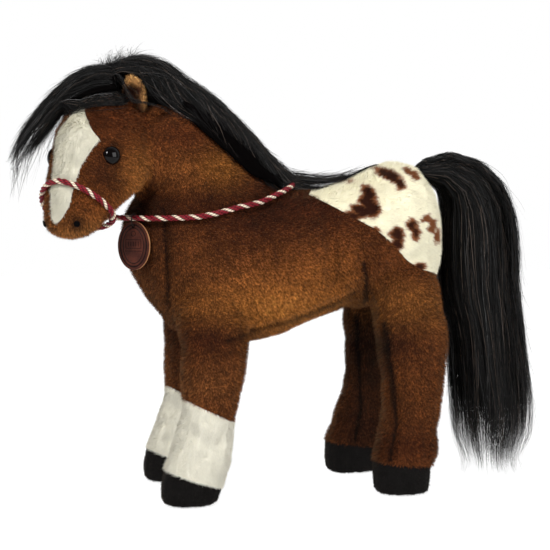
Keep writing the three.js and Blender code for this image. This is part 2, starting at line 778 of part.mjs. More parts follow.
// The rein, from the chin along the left shoulder, over the withers under the mane, and back on the right
const tagHang = [7.0, -29.6, 218.7];
const reinPoints = [
  [-9.6, -16.2, 219.2], [-1.5, -21.8, 219.0], tagHang, [18.6, -38.2, 218.4], [31.6, -43.0, 218.6],
  [51.4, -46.0, 219.4], [65.8, -46.9, 221.8], [86.5, -44.9, 227.2], [102.7, -41.9, 230.8], [117.2, -35.0, 236.6],
  [131.0, -23.6, 242.6], [137.6, -10.6, 246.2], [139.6, 0.0, 246.8], [137.6, 10.6, 246.2], [131.0, 23.6, 242.6],
  [117.2, 35.0, 236.6], [102.7, 41.9, 230.8], [86.5, 44.9, 227.2], [65.8, 46.9, 221.8], [51.4, 46.0, 219.4],
  [31.6, 42.0, 218.6], [19.0, 36.6, 218.4], [8.0, 27.5, 218.7], [-2.0, 13.0, 219.0], [-13.8, -12.0, 219.2],
];
const tagPlace = reinPoints.indexOf(tagHang);

const reinPath = new THREE.CatmullRomCurve3(reinPoints.map((point) => new THREE.Vector3(...point)));

function ropeForm(radius) {
  const section = new THREE.Shape(ovalRing(
    new THREE.Vector3(), xAxis, yAxis, radius, radius, ropeSides).map(({ x, y }) => new THREE.Vector2(x, y)));
  return new THREE.ExtrudeGeometry(section, { steps: reinSteps, extrudePath: reinPath, bevelEnabled: false });
}

const ropeRadius = ropeDiameter / 2;
const noseband = nosebandPath();

function addHalter() {
  const bandRoom = toSolid(closedTube(noseband, ropeRadius + seamGap, ropeSides));
  addPiece('noseband', toSolid(closedTube(noseband, ropeRadius, ropeSides)), ropeRed);
  addPiece('rein', wholePanel(without(toSolid(ropeForm(ropeRadius)), bandRoom)), ropeRed);
}

// Hair: cut to lie on the skins, the ears and the rope that passes under it
function addHair() {
  const mane = maneForm();
  const forelock = forelockForm();
  const earRooms = ears.map(({ outer }) => toSolid(swollen(outer, seamGap)));
  const ropeRoom = toSolid(ropeForm(ropeRadius + seamGap));
  const rooms = [torso.room, neck.room, head.room, ...earRooms];
  addPiece('mane', wholePanel(without(toSolid(mane), ...rooms, ropeRoom)), hairBlack);
  addPiece('forelock', wholePanel(without(toSolid(forelock), ...rooms, toSolid(swollen(mane, seamGap)))), hairBlack);
}

// Tail: reach behind the dock, drop below it, then half depth and half breadth, as shares
const tailShares = [
  [0.02, -0.004, 0.22, 0.30],
  [0.14, -0.006, 0.30, 0.42],
  [0.32, 0.004, 0.42, 0.56],
  [0.52, 0.032, 0.57, 0.68],
  [0.70, 0.090, 0.72, 0.78],
  [0.81, 0.176, 0.82, 0.85],
  [0.85, 0.300, 0.88, 0.89],
  [0.89, 0.460, 0.93, 0.93],
  [0.94, 0.620, 0.97, 0.97],
  [1.00, 0.780, 1.00, 1.00],
  [1.00, 0.890, 0.88, 0.90],
  [0.99, 0.965, 0.50, 0.54],
];

const dockRadius = dockDiameter / 2;
const dockUp = new THREE.Vector3().crossVectors(
  yAxis, backPoint(dockPlace + skinThickness).sub(backPoint(dockPlace - skinThickness))).normalize().negate();
const dockCentre = backPoint(dockPlace).addScaledVector(dockUp, dockRadius + seamGap - dockSeat);

function tailForm() {
  const places = tailShares.map(([reach, drop]) => dockCentre.clone().add(
    new THREE.Vector3(reach * tailReach, 0, -drop * tailFall)));
  const rings = places.map((place, k) => {
    const along = places[Math.min(k + 1, places.length - 1)].clone().sub(places[Math.max(k - 1, 0)]);
    const outward = new THREE.Vector3().crossVectors(along, yAxis).normalize();
    const [, , depth, breadth] = tailShares[k];
    return ovalRing(place, outward, yAxis, (depth * tailDepth) / 2, (breadth * tailWidth) / 2, hairSides);
  });
  const tip = dockCentre.clone().add(new THREE.Vector3(tailReach, 0, -tailFall));
  return loft(rings, dockCentre.clone().addScaledVector(dockUp, seamGap), tip);
}

// The torso as the tail meets it when it swings and lifts, so that hair never runs into the rump
function tailRoom() {
  const rooms = [];
  const about = (axis, angle) => new THREE.Matrix4().makeTranslation(dockCentre)
    .multiply(new THREE.Matrix4().makeRotationAxis(axis, angle))
    .multiply(new THREE.Matrix4().makeTranslation(dockCentre.clone().negate()));
  const body = swollen(torsoForm(), tailClearance);
  for (let step = -tailSweepSteps; step <= tailSweepSteps; step += 1) {
    const swing = about(zAxis, radians((tailSwing * step) / tailSweepSteps));
    const lift = about(yAxis, radians((tailLift * (step + tailSweepSteps)) / (2 * tailSweepSteps)));
    rooms.push(toSolid(body.clone().applyMatrix4(swing)), toSolid(body.clone().applyMatrix4(lift)));
  }
  return rooms;
}

function addTail() {
  const dock = new THREE.SphereGeometry(dockRadius, dockSides, dockSides / 2);
  const dockRoom = new THREE.SphereGeometry(dockRadius + seamGap, dockSides, dockSides / 2);
  [dock, dockRoom].forEach((ball) => ball.translate(dockCentre.x, dockCentre.y, dockCentre.z));
  addPiece('tail_dock', toSolid(dock), hairBlack);
  addPiece('tail_hair', wholePanel(without(toSolid(tailForm()), toSolid(dockRoom), ...tailRoom())), hairBlack);
}

// Tag: an oval plate under the rope, hung on a loop of thread through its hole
function addTag() {
  const centre = new THREE.Vector3(...reinPoints[tagPlace]);
  const along = new THREE.Vector3(...reinPoints[tagPlace + 1]).sub(new THREE.Vector3(...reinPoints[tagPlace - 1]));
  along.setZ(0).normalize();
  const out = new THREE.Vector3().crossVectors(along, zAxis);
  const frame = new THREE.Matrix4().makeBasis(along, zAxis, out).setPosition(centre);
  const top = -ropeRadius - threadGap;
  const plate = new THREE.Shape().absellipse(0, top - tagLength / 2, tagWidth / 2, tagLength / 2, 0, 2 * Math.PI);
  const holeHeight = top - tagHoleInset;
  plate.holes.push(new THREE.Path().absarc(0, holeHeight, tagHoleDiameter / 2, 0, 2 * Math.PI));
  const body = new THREE.ExtrudeGeometry(plate, { depth: tagThickness, bevelEnabled: false, curveSegments: tagSides });
  body.translate(0, 0, -tagThickness / 2);
  addPiece('tag', toSolid(body.applyMatrix4(frame)), tagBrown);
  const thread = threadDiameter / 2;
  const loopTop = ropeRadius + threadGap + thread;
  const loopHeight = (loopTop - holeHeight) / 2;
  const loop = ovalRing(new THREE.Vector3(0, (loopTop + holeHeight) / 2, 0), yAxis, xAxis,
    loopHeight, ropeRadius + 2 * threadGap + thread, threadSteps);
  const ring = closedTube(loop, thread, threadSides);
  const upright = new THREE.Matrix4().makeBasis(out, zAxis, along.clone().negate()).setPosition(centre);
  addPiece('tag_thread', toSolid(ring.applyMatrix4(upright)), threadBrown);
}

addTorso();
addNeck();
addHead();
addEars();
legs.forEach(addLeg);
addHair();
addHalter();
addTail();
addTag();

// The origin is on the ground, under the middle of the pony's box
const box = new THREE.Box3().setFromObject(pony);
const middle = box.getCenter(new THREE.Vector3());
pony.position.set(-middle.x, -middle.y, -box.min.z);

export default pony;
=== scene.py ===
"""A plush toy horse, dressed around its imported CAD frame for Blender 4.5.

All sizes are in millimetres in the frame of the CAD model, and become metres when a mesh is made. MM is
one millimetre in metres, and MIDDLE is the y of the toy's middle plane.
"""

import json
import logging
import math
from collections.abc import Callable, Iterator, Mapping, Sequence
from contextlib import contextmanager
from dataclasses import dataclass, field
from enum import Enum

import bmesh
import bpy
import numpy as np
from mathutils import Matrix, Vector
from mathutils.bvhtree import BVHTree
from mathutils.kdtree import KDTree

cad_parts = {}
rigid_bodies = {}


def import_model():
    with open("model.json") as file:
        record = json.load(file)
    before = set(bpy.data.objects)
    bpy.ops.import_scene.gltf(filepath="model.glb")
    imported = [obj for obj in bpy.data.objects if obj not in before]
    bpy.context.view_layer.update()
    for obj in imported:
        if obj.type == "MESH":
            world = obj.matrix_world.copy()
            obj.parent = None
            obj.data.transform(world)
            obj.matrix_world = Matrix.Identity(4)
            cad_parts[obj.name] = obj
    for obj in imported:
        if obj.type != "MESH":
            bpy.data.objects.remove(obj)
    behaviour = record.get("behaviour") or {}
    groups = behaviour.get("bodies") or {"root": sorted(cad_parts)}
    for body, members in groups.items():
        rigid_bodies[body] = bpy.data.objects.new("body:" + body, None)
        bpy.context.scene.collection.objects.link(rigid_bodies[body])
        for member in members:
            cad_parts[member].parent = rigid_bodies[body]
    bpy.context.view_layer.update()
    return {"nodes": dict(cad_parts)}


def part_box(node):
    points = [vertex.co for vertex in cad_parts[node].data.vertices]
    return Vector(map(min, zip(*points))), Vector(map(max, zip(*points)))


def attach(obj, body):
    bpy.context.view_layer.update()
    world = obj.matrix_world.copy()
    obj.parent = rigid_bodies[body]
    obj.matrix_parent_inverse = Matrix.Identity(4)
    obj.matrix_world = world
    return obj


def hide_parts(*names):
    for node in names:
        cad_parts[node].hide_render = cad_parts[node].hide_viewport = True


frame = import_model()
MM = 0.001
MIDDLE = 1.3
log = logging.getLogger("plush_horse")
Field = Callable[[np.ndarray], np.ndarray]
Spot = tuple[float, float, float]
Lines = tuple[np.ndarray, np.ndarray]


class Side(Enum):
    """The toy's own left side faces the camera and minus Y."""

    LEFT = -1
    RIGHT = 1

    def named(self, piece: str) -> str:
        """Returns the name of this side's piece."""
        return f"{piece}_{self.name.lower()}"


class Ply(Enum):
    """Colours of the yarns that the halter rope is twisted from."""

    BURGUNDY = "#780f1e"
    CREAM = "#e0cbb4"


# Small tools for colours, nodes and meshes


def linear(code: str) -> tuple[float, float, float, float]:
    """Turns an sRGB hex colour to linear red, green, blue and alpha.

    Args:
        code: colour as #rrggbb.

    Returns:
        Linear values from 0 to 1, with an alpha of 1.
    """
    parts = [int(code[k : k + 2], 16) / 255 for k in (1, 3, 5)]
    return (*[p / 12.92 if p <= 0.04045 else ((p + 0.055) / 1.055) ** 2.4 for p in parts], 1.0)


def shade(code: str) -> np.ndarray:
    """Returns an sRGB hex colour as a linear array of three."""
    return np.array(linear(code)[:3])


def feed(tree: bpy.types.NodeTree, node: bpy.types.Node, inputs: Mapping[str | int, object]) -> None:
    """Sets or links inputs of a node.

    Args:
        tree: node tree that it is in.
        node: the node.
        inputs: for each input, a value, or the output socket that feeds it.
    """
    for key, value in inputs.items():
        if isinstance(value, bpy.types.NodeSocket):
            tree.links.new(value, node.inputs[key])
        else:
            node.inputs[key].default_value = value


def add_node(
    tree: bpy.types.NodeTree,
    kind: str,
    inputs: Mapping[str | int, object],
    out: str | int = 0,
    **settings: object,
) -> bpy.types.NodeSocket:
    """Adds a shader node with its settings, and sets or links its inputs.

    Args:
        tree: node tree that gets the node.
        kind: Blender's name of the node type, without ShaderNode.
        inputs: for each input, a value, or the output socket that feeds it.
        out: which of its outputs is wanted.
        **settings: properties of the node.

    Returns:
        That output of the new node.
    """
    node = tree.nodes.new(f"ShaderNode{kind}")
    for name, value in settings.items():
        setattr(node, name, value)
    feed(tree, node, inputs)
    return node.outputs[out]


def pick(piece: bpy.types.Object) -> None:
    """Selects one object alone and makes it active.

    Args:
        piece: the object.
    """
    if bpy.context.object and bpy.context.object.mode != "OBJECT":
        bpy.ops.object.mode_set(mode="OBJECT")
    bpy.ops.object.select_all(action="DESELECT")
    piece.select_set(True)
    bpy.context.view_layer.objects.active = piece


@contextmanager
def editing(piece: bpy.types.Object, everything: bool = True) -> Iterator[None]:
    """Opens a piece in edit mode, and closes it with nothing selected.

    Args:
        piece: the object.
        everything: whether all of it gets selected, or its selection stays as it is.

    Yields:
        Nothing, while the piece is open.
    """
    pick(piece)
    bpy.ops.object.mode_set(mode="EDIT")
    if everything:
        bpy.ops.mesh.select_all(action="SELECT")
    yield
    bpy.ops.mesh.select_all(action="DESELECT")
    bpy.ops.object.mode_set(mode="OBJECT")


@contextmanager
def reshaped(target: bpy.types.Mesh, *sources: bpy.types.Mesh) -> Iterator[bmesh.types.BMesh]:
    """Opens meshes for changes that are stored in one of them or in another.

    Args:
        target: mesh that takes the result.
        *sources: meshes to start from, or none for the target itself.

    Yields:
        The meshes, open for changes.
    """
    bm = bmesh.new()
    for mesh in sources or (target,):
        bm.from_mesh(mesh)
    yield bm
    bm.to_mesh(target)
    bm.free()


def apply_modifier(piece: bpy.types.Object, kind: str, **settings: object) -> None:
    """Adds a modifier with its settings and applies it.

    Args:
        piece: object that is changed.
        kind: Blender's name of the modifier type.
        **settings: properties of the modifier.
    """
    pick(piece)
    modifier = piece.modifiers.new(kind.title(), kind)
    for name, value in settings.items():
        setattr(modifier, name, value)
    bpy.ops.object.modifier_apply(modifier=modifier.name)


def placed(name: str, data: bpy.types.ID) -> bpy.types.Object:
    """Returns a new object in the scene with the data given."""
    piece = bpy.data.objects.new(name, data)
    bpy.context.scene.collection.objects.link(piece)
    return piece


def primitive(make: Callable[..., object], name: str, **settings: object) -> bpy.types.Object:
    """Makes a primitive, at the origin unless told otherwise.

    Args:
        make: operator that adds it.
        name: name of the piece.
        **settings: what the operator is told.

    Returns:
        The piece.
    """
    bpy.ops.object.select_all(action="DESELECT")
    make(**{"location": (0, 0, 0), **settings})
    bpy.context.object.name = name
    return bpy.context.object


def piece_from(name: str, points: np.ndarray, faces: np.ndarray) -> bpy.types.Object:
    """Makes a smooth mesh object of faces that all have the same number of corners.

    Args:
        name: name of the object.
        points: places in millimetres, one row each.
        faces: corner numbers, one row each.

    Returns:
        The new object.
    """
    mesh = bpy.data.meshes.new(name)
    count, sides = faces.shape
    mesh.vertices.add(len(points))
    mesh.vertices.foreach_set("co", (points * MM).astype(np.float32).ravel())
    mesh.loops.add(count * sides)
    mesh.loops.foreach_set("vertex_index", faces.astype(np.int32).ravel())
    mesh.polygons.add(count)
    mesh.polygons.foreach_set("loop_start", np.arange(0, count * sides, sides, dtype=np.int32))
    mesh.polygons.foreach_set("use_smooth", np.ones(count, dtype=bool))
    mesh.update(calc_edges=True)
    return placed(name, mesh)


def set_tone(piece: bpy.types.Object, tone: np.ndarray) -> None:
    """Stores a colour for each point as the attribute Tone.

    Args:
        piece: a mesh.
        tone: linear colours from 0 to 1, one row each.
    """
    layer = piece.data.color_attributes.new("Tone", "FLOAT_COLOR", "POINT")
    values = np.ones((len(piece.data.vertices), 4), np.float32)
    values[:, :3] = np.clip(tone, 0, 1)
    layer.data.foreach_set("color", values.ravel())


def set_normals(piece: bpy.types.Object, normals: np.ndarray) -> None:
    """Sets the shading normals, so that fine hair is lit as the surface under it."""
    piece.data.normals_split_custom_set_from_vertices(unit(normals).astype(np.float32))


def read(items: Sequence[object], name: str, width: int, kind: type = np.float32) -> np.ndarray:
    """Reads one property of many mesh items.

    Args:
        items: points, edges, faces or corners of a mesh.
        name: the property.
        width: how many numbers each has.
        kind: type of the numbers.

    Returns:
        One row for each item.
    """
    values = np.zeros(len(items) * width, kind)
    items.foreach_get(name, values)
    return values.reshape(-1, width)


def places_of(piece: bpy.types.Object) -> np.ndarray:
    """Returns the points of a mesh in millimetres."""
    return read(piece.data.vertices, "co", 3).astype(float) / MM


def normals_of(piece: bpy.types.Object) -> np.ndarray:
    """Returns the normal at each point of a mesh."""
    return read(piece.data.vertex_normals, "vector", 3).astype(float)


def edges_of(piece: bpy.types.Object) -> np.ndarray:
    """Returns the two ends of each edge of a mesh."""
    return read(piece.data.edges, "vertices", 2, np.int32)


def move_to(piece: bpy.types.Object, points: np.ndarray) -> None:
    """Moves the points of a mesh to places in millimetres."""
    piece.data.vertices.foreach_set("co", (points * MM).astype(np.float32).ravel())
    piece.data.update()


def unit(vectors: np.ndarray) -> np.ndarray:
    """Returns vectors at length one."""
    return vectors / np.maximum(np.linalg.norm(vectors, axis=-1, keepdims=True), 1e-9)


def fade(values: np.ndarray, start: float, end: float) -> np.ndarray:
    """Returns 0 before start and 1 after end, with a smooth step between them."""
    share = np.clip((values - start) / (end - start), 0, 1)
    return share * share * (3 - 2 * share)


def lengths(path: np.ndarray) -> np.ndarray:
    """Returns how far along a path each of its points lies."""
    return np.r_[0, np.cumsum(np.linalg.norm(np.diff(path, axis=0), axis=1))]


def dapple(places: np.ndarray, size: float, seed: int) -> np.ndarray:
    """Soft blotches from waves in many directions.

    Args:
        places: points in millimetres.
        size: distance between blotches.
        seed: chooses the pattern.

    Returns:
        A value for each point, mostly between -1 and 1.
    """
    chance = np.random.default_rng(seed)
    total = np.zeros(len(places))
    for _ in range(9):
        way = unit(chance.normal(size=3)) * (2 * math.pi / size) * chance.uniform(0.7, 1.4)
        total += np.sin(places @ way + chance.uniform(0, 2 * math.pi))
    return total / 3


def outline_distance(points: np.ndarray, outline: np.ndarray, closed: bool = True) -> np.ndarray:
    """Distance in a plane to an outline.

    Args:
        points: places in the plane, two columns.
        outline: its corners in order, two columns.
        closed: whether the last corner joins the first; then the inside counts as positive.

    Returns:
        The distance of each point, negative outside a closed outline.
    """
    best = np.full(len(points), 1e9)
    inside = np.zeros(len(points), bool)
    for k in range(len(outline) if closed else len(outline) - 1):
        a, b = outline[k], outline[(k + 1) % len(outline)]
        along = b - a
        share = np.clip(((points - a) @ along) / (along @ along), 0, 1)
        best = np.minimum(best, np.linalg.norm(points - a - share[:, None] * along, axis=1))
        crosses = (a[1] > points[:, 1]) != (b[1] > points[:, 1])
        level = np.where(crosses, (points[:, 1] - a[1]) / (along[1] if along[1] else 1), 0)
        inside ^= crosses & (points[:, 0] < a[0] + level * along[0])
    return np.where(inside, best, -best) if closed else best


def smooth_path(points: np.ndarray, step: float, closed: bool = False) -> np.ndarray:
    """A smooth curve through points, cut into even steps.

    Args:
        points: places that it goes through.
        step: distance between the new points.
        closed: whether it joins up.

    Returns:
        The new points, one row each.
    """
    count = len(points)
    ends = points if closed else np.vstack([2 * points[0] - points[1], points, 2 * points[-1] - points[-2]])
    fine = []
    for k in range(count if closed else count - 1):
        p, q, r, s = [ends[(k + j - 1) % count] for j in range(4)] if closed else ends[k : k + 4]
        for t in np.linspace(0, 1, 24, endpoint=False):
            bend = (2 * p - 5 * q + 4 * r - s) * t**2 + (3 * q - p - 3 * r + s) * t**3
            fine.append(0.5 * (2 * q + (r - p) * t + bend))
    fine = np.array(fine + [points[0] if closed else points[-1]])
    length = lengths(fine)
    even = np.linspace(0, length[-1], max(int(round(length[-1] / step)), 3) + 1)
    even = even[:-1] if closed else even
    return np.column_stack([np.interp(even, length, fine[:, k]) for k in range(3)])


def surface_tree(*meshes: bpy.types.Mesh) -> BVHTree:
    """Makes a search tree of faces.

    Args:
        *meshes: meshes that have them.

    Returns:
        The tree, in metres.
    """
    bm = bmesh.new()
    for mesh in meshes:
        bm.from_mesh(mesh)
    tree = BVHTree.FromBMesh(bm)
    bm.free()
    return tree


def point_tree(points: np.ndarray) -> KDTree:
    """Makes a search tree of points.

    Args:
        points: places, one row each.

    Returns:
        The tree, in the unit of the points.
    """
    tree = KDTree(len(points))
    for k, point in enumerate(points):
        tree.insert(point, k)
    tree.balance()
    return tree


def spread(values: np.ndarray, links: np.ndarray) -> np.ndarray:
    """Averages a value over each point's neighbours.

    Args:
        values: one for each point.
        links: edges as pairs of point numbers.

    Returns:
        The mean at each point.
    """
    count = np.bincount(links.ravel(), minlength=len(values))
    total = np.bincount(links[:, 0], values[links[:, 1]], len(values))
    total += np.bincount(links[:, 1], values[links[:, 0]], len(values))
    return total / np.maximum(count, 1)


def relaxed(
    points: np.ndarray, links: np.ndarray, rounds: int, strength: np.ndarray | float = 1.0
) -> np.ndarray:
    """Smooths a surface without shrinking it much.

    Args:
        points: places.
        links: edges as pairs of point numbers.
        rounds: how many times the points move to the mean of their neighbours and partly back.
        strength: share of the move at each point.

    Returns:
        The new places.
    """
    strength = np.broadcast_to(np.asarray(strength, float), (len(points),))[:, None]
    for _ in range(rounds):
        for share in (0.55, -0.53):
            mean = np.column_stack([spread(points[:, k], links) for k in range(3)])
            points = points + share * strength * (mean - points)
    return points


def keep_largest(piece: bpy.types.Object) -> None:
    """Removes every part of a mesh but its largest.

    Args:
        piece: the mesh.
    """
    links = edges_of(piece)
    label, new = None, np.arange(len(piece.data.vertices))
    while label is None or (new != label).any():
        label = new
        low = np.minimum(label[links[:, 0]], label[links[:, 1]])
        new = label.copy()
        np.minimum.at(new, links[:, 0], low)
        np.minimum.at(new, links[:, 1], low)
        new = new[new]
    largest = np.bincount(label).argmax()
    with reshaped(piece.data) as bm:
        gone = [v for v in bm.verts if label[v.index] != largest]
        bmesh.ops.delete(bm, geom=gone, context="VERTS")


def joined(nodes: Sequence[str], name: str, voxel: float) -> bpy.types.Object:
    """Copies CAD solids as one closed surface.

    Args:
        nodes: the solids.
        name: name of the copy.
        voxel: size of the grid that joins them.

    Returns:
        The copy.
    """
    mesh = bpy.data.meshes.new(name)
    with reshaped(mesh, *[frame["nodes"][node].data for node in nodes]) as bm:
        bmesh.ops.remove_doubles(bm, verts=bm.verts, dist=1e-6)
    piece = placed(name, mesh)
    apply_modifier(piece, "REMESH", mode="VOXEL", voxel_size=voxel * MM)
    keep_largest(piece)
    return piece


def rounded_copy(node: str, name: str, voxel: float, rounds: int) -> bpy.types.Object:
    """Copies a CAD solid as one closed and smooth surface.

    Args:
        node: the solid.
        name: name of the copy.
        voxel: size of the grid.
        rounds: how much it is smoothed.

    Returns:
        The copy.
    """
    piece = joined([node], name, voxel)
    move_to(piece, relaxed(places_of(piece), edges_of(piece), rounds))
    pick(piece)
    bpy.ops.object.shade_smooth()
    return piece


def settle(piece: bpy.types.Object, body: str, slot: str, *nodes: str) -> None:
    """Sets a piece on its body.

    Args:
        piece: the piece.
        body: CAD body that it moves with.
        slot: material slot of the record; not used.
        *nodes: CAD nodes that it stands for, if any.
    """
    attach(piece, body)
    if nodes:
        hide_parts(*nodes)


def aimed(place: Sequence[float], way: Sequence[float]) -> Matrix:
    """Returns the matrix that brings the origin to a place and turns up to a direction."""
    return Matrix.Translation(Vector(place) * MM) @ Vector(way).to_track_quat("Z", "Y").to_matrix().to_4x4()


# Finishes: each is named for what the real one is made of


def texture(
    tree: bpy.types.NodeTree, kind: str, inputs: Mapping[str | int, object], out: str, **settings: object
) -> bpy.types.NodeSocket:
    """Adds a texture that lies in the object's own coordinates.

    Args:
        tree: node tree that gets the node.
        kind: type of the texture.
        inputs: its values.
        out: which of its outputs is wanted.
        **settings: its properties.

    Returns:
        That output.
    """
    spot = add_node(tree, "TexCoord", {}, "Object")
    return add_node(tree, kind, {"Vector": spot, **inputs}, out, **settings)


@dataclass(frozen=True)
class Finish:
    """A finish of one material, under the name given; the kinds below say what it is made of."""

    name: str

    def material(self) -> bpy.types.Material:
        """Makes the finish's material, once.

        Returns:
            The material.
        """
        found = bpy.data.materials.get(self.name)
        if found:
            return found
        material = bpy.data.materials.new(self.name)
        material.use_nodes = True
        tree = material.node_tree
        feed(tree, tree.nodes["Principled BSDF"], self.dress(tree))
        return material

    def dress(self, tree: bpy.types.NodeTree) -> dict[str, object]:
        """Adds the nodes of the finish; each kind has its own.

        Args:
            tree: node tree of the material.

        Returns:
            Inputs of the material's shader.
        """
        raise NotImplementedError

    def put_on(self, piece: bpy.types.Object) -> None:
        """Gives a piece this finish alone."""
        piece.data.materials.clear()
        piece.data.materials.append(self.material())


@dataclass(frozen=True)
class PlushPile(Finish):
    """Polyester plush, cut pile: matt, with a pale edge where the tips catch the light.

    Attributes:
        sheen: strength of the pale edge.
        roughness: of the fibres.
        grain: how much single fibres differ in colour.
    """

    sheen: float = 0.1
    roughness: float = 0.8
    grain: float = 0.6

    def dress(self, tree: bpy.types.NodeTree) -> dict[str, object]:
        """Colour from the dye on each fibre, with a fine grain of about 1.5 mm.

        Args:
            tree: node tree of the material.

        Returns:
            Inputs of the material's shader.
        """
        tone = add_node(tree, "VertexColor", {}, layer_name="Tone")
        noise = texture(tree, "TexNoise", {"Scale": 520.0, "Detail": 2.0}, "Fac")
        share = add_node(tree, "MapRange", {0: noise, 1: 0.32, 2: 0.68, 3: 1 - self.grain, 4: 1 + self.grain})
        return {
            "Base Color": add_node(tree, "VectorMath", {0: tone, "Scale": share}, operation="SCALE"),
            "Roughness": self.roughness,
            "Specular IOR Level": 0.12,
            "Sheen Weight": self.sheen,
            "Sheen Roughness": 0.45,
            "Sheen Tint": linear("#ffcf94"),
        }


@dataclass(frozen=True)
class KnitBacking(Finish):
    """Knitted polyester ground of the plush: matt, seen only between the fibres."""

    def dress(self, tree: bpy.types.NodeTree) -> dict[str, object]:
        """The dye's colour on a bumpy ground with loops 1.2 mm apart.

        Args:
            tree: node tree of the material.

        Returns:
            Inputs of the material's shader.
        """
        noise = texture(tree, "TexNoise", {"Scale": 830.0, "Detail": 3.0}, "Fac")
        return {
            "Base Color": add_node(tree, "VertexColor", {}, layer_name="Tone"),
            "Normal": add_node(tree, "Bump", {"Strength": 0.5, "Distance": 0.0006, "Height": noise}),
            "Roughness": 0.9,
            "Specular IOR Level": 0.1,
        }


@dataclass(frozen=True)
class FringeHair(Finish):
    """Long acrylic fringe hair, black with a brown cast: fine glossy streaks along the fibres.

    Attributes:
        roughness: of the fibres.
        specular: how strongly they mirror.
    """

    roughness: float = 0.36
    specular: float = 0.16

    def dress(self, tree: bpy.types.NodeTree) -> dict[str, object]:
        """Each fibre's own shade, broken up a little along its length.

        Args:
            tree: node tree of the material.

        Returns:
            Inputs of the material's shader.
        """
        noise = texture(tree, "TexNoise", {"Scale": 180.0, "Detail": 2.0}, "Fac")
        low, high = self.roughness - 0.06, self.roughness + 0.12
        return {
            "Base Color": add_node(tree, "VertexColor", {}, layer_name="Tone"),
            "Roughness": add_node(tree, "MapRange", {0: noise, 1: 0.3, 2: 0.7, 3: low, 4: high}),
            "Specular IOR Level": self.specular,
        }


@dataclass(frozen=True)
class Moulded(Finish):
    """Injection-moulded plastic, polished or satin.

    Attributes:
        colour: sRGB hex.
        roughness: of the moulded skin.
        specular: how strongly it mirrors.
    """

    colour: str = "#060404"
    roughness: float = 0.04
    specular: float = 0.15

    def dress(self, tree: bpy.types.NodeTree) -> dict[str, object]:
        """A faint unevenness 3 mm across keeps the gloss from looking ideal.

        Args:
            tree: node tree of the material.

        Returns:
            Inputs of the material's shader.
        """
        noise = texture(tree, "TexNoise", {"Scale": 330.0, "Detail": 1.0}, "Fac")
        low, high = self.roughness * 0.7, self.roughness * 1.4
        return {
            "Base Color": linear(self.colour),
            "Roughness": add_node(tree, "MapRange", {0: noise, 3: low, 4: high}),
            "Specular IOR Level": self.specular,
            "IOR": 1.49,
        }


@dataclass(frozen=True)
class TwistedYarn(Finish):
    """Rayon yarn, plied: satiny, with thin dark lines between the plies.

    The UV map has its length and girth in millimetres, and Tone is painted shade, darker where a place lies
    deep in the rope between the yarns.

    Attributes:
        colour: sRGB hex.
        ply: distance between the lines in millimetres.
        specular: how strongly it mirrors.
    """

    colour: str = Ply.BURGUNDY.value
    ply: float = 1.1
    specular: float = 0.2

    def dress(self, tree: bpy.types.NodeTree) -> dict[str, object]:
        """Lines slant across the yarn, and painted shade darkens it where it touches the next one.

        Args:
            tree: node tree of the material.

        Returns:
            Inputs of the material's shader.
        """
        lay = add_node(tree, "UVMap", {}, uv_map="Lay")
        lines = {"Vector": lay, "Scale": 0.3 / self.ply, "Distortion": 0.6, "Detail": 2.0}
        wave = add_node(tree, "TexWave", lines, "Fac", wave_type="BANDS", bands_direction="DIAGONAL")
        share = add_node(tree, "MapRange", {0: wave, 3: 0.35, 4: 1.2})
        # Painted shade: Tone darkens the yarn where it lies deep in the rope.
        deep = add_node(tree, "VertexColor", {}, layer_name="Tone")
        dyed_and_shaded = add_node(tree, "VectorMath", {0: linear(self.colour)[:3], 1: deep}, operation="MULTIPLY")
        return {
            "Base Color": add_node(tree, "VectorMath", {0: dyed_and_shaded, "Scale": share}, operation="SCALE"),
            "Normal": add_node(tree, "Bump", {"Strength": 0.6, "Distance": 0.0003, "Height": wave}),
            "Roughness": 0.5,
            "Specular IOR Level": self.specular,
        }


@dataclass(frozen=True)
class TagLeather(Finish):
    """Bonded leather, die-cut and heat-pressed: pebbled, satin, paler where it is rubbed.

    Attributes:
        colour: sRGB hex of the face.
        worn: sRGB hex of the rubbed pebbles.
        grain: distance between pebbles in millimetres.
    """

    colour: str = "#33160f"
    worn: str = "#54291c"
    grain: float = 1.1

    def dress(self, tree: bpy.types.NodeTree) -> dict[str, object]:
        """Pebbles are as coarse as they need to be to show.

        Args:
            tree: node tree of the material.

        Returns:
            Inputs of the material's shader.
        """
        cells = texture(tree, "TexVoronoi", {"Scale": 1000 / self.grain}, "Distance", feature="SMOOTH_F1")
        noise = texture(tree, "TexNoise", {"Scale": 160.0, "Detail": 3.0}, "Fac")
        share = add_node(tree, "MapRange", {0: noise, 1: 0.4, 2: 0.75, 3: 0.0, 4: 0.7})
        tones = {0: share, 6: linear(self.colour), 7: linear(self.worn)}
        return {
            "Base Color": add_node(tree, "Mix", tones, 2, data_type="RGBA"),
            "Normal": add_node(tree, "Bump", {"Strength": 0.35, "Distance": 0.0002, "Height": cells}),
            "Roughness": 0.5,
            "Specular IOR Level": 0.12,
        }


@dataclass(frozen=True)
class CottonTape(Finish):
    """Narrow cotton tape, plain woven and dyed black: matt, with a weave 1 mm apart."""

    def dress(self, tree: bpy.types.NodeTree) -> dict[str, object]:
        """Threads cross at right angles and the dye is a little uneven.

        Args:
            tree: node tree of the material.

        Returns:
            Inputs of the material's shader.
        """
        weave = texture(tree, "TexChecker", {"Scale": 1000.0}, "Fac")
        noise = texture(tree, "TexNoise", {"Scale": 300.0, "Detail": 2.0}, "Fac")
        tones = {0: noise, 6: linear("#0a0808"), 7: linear("#1c1816")}
        return {
            "Base Color": add_node(tree, "Mix", tones, 2, data_type="RGBA"),
            "Normal": add_node(tree, "Bump", {"Strength": 0.5, "Distance": 0.0003, "Height": weave}),
            "Roughness": 0.85,
        }


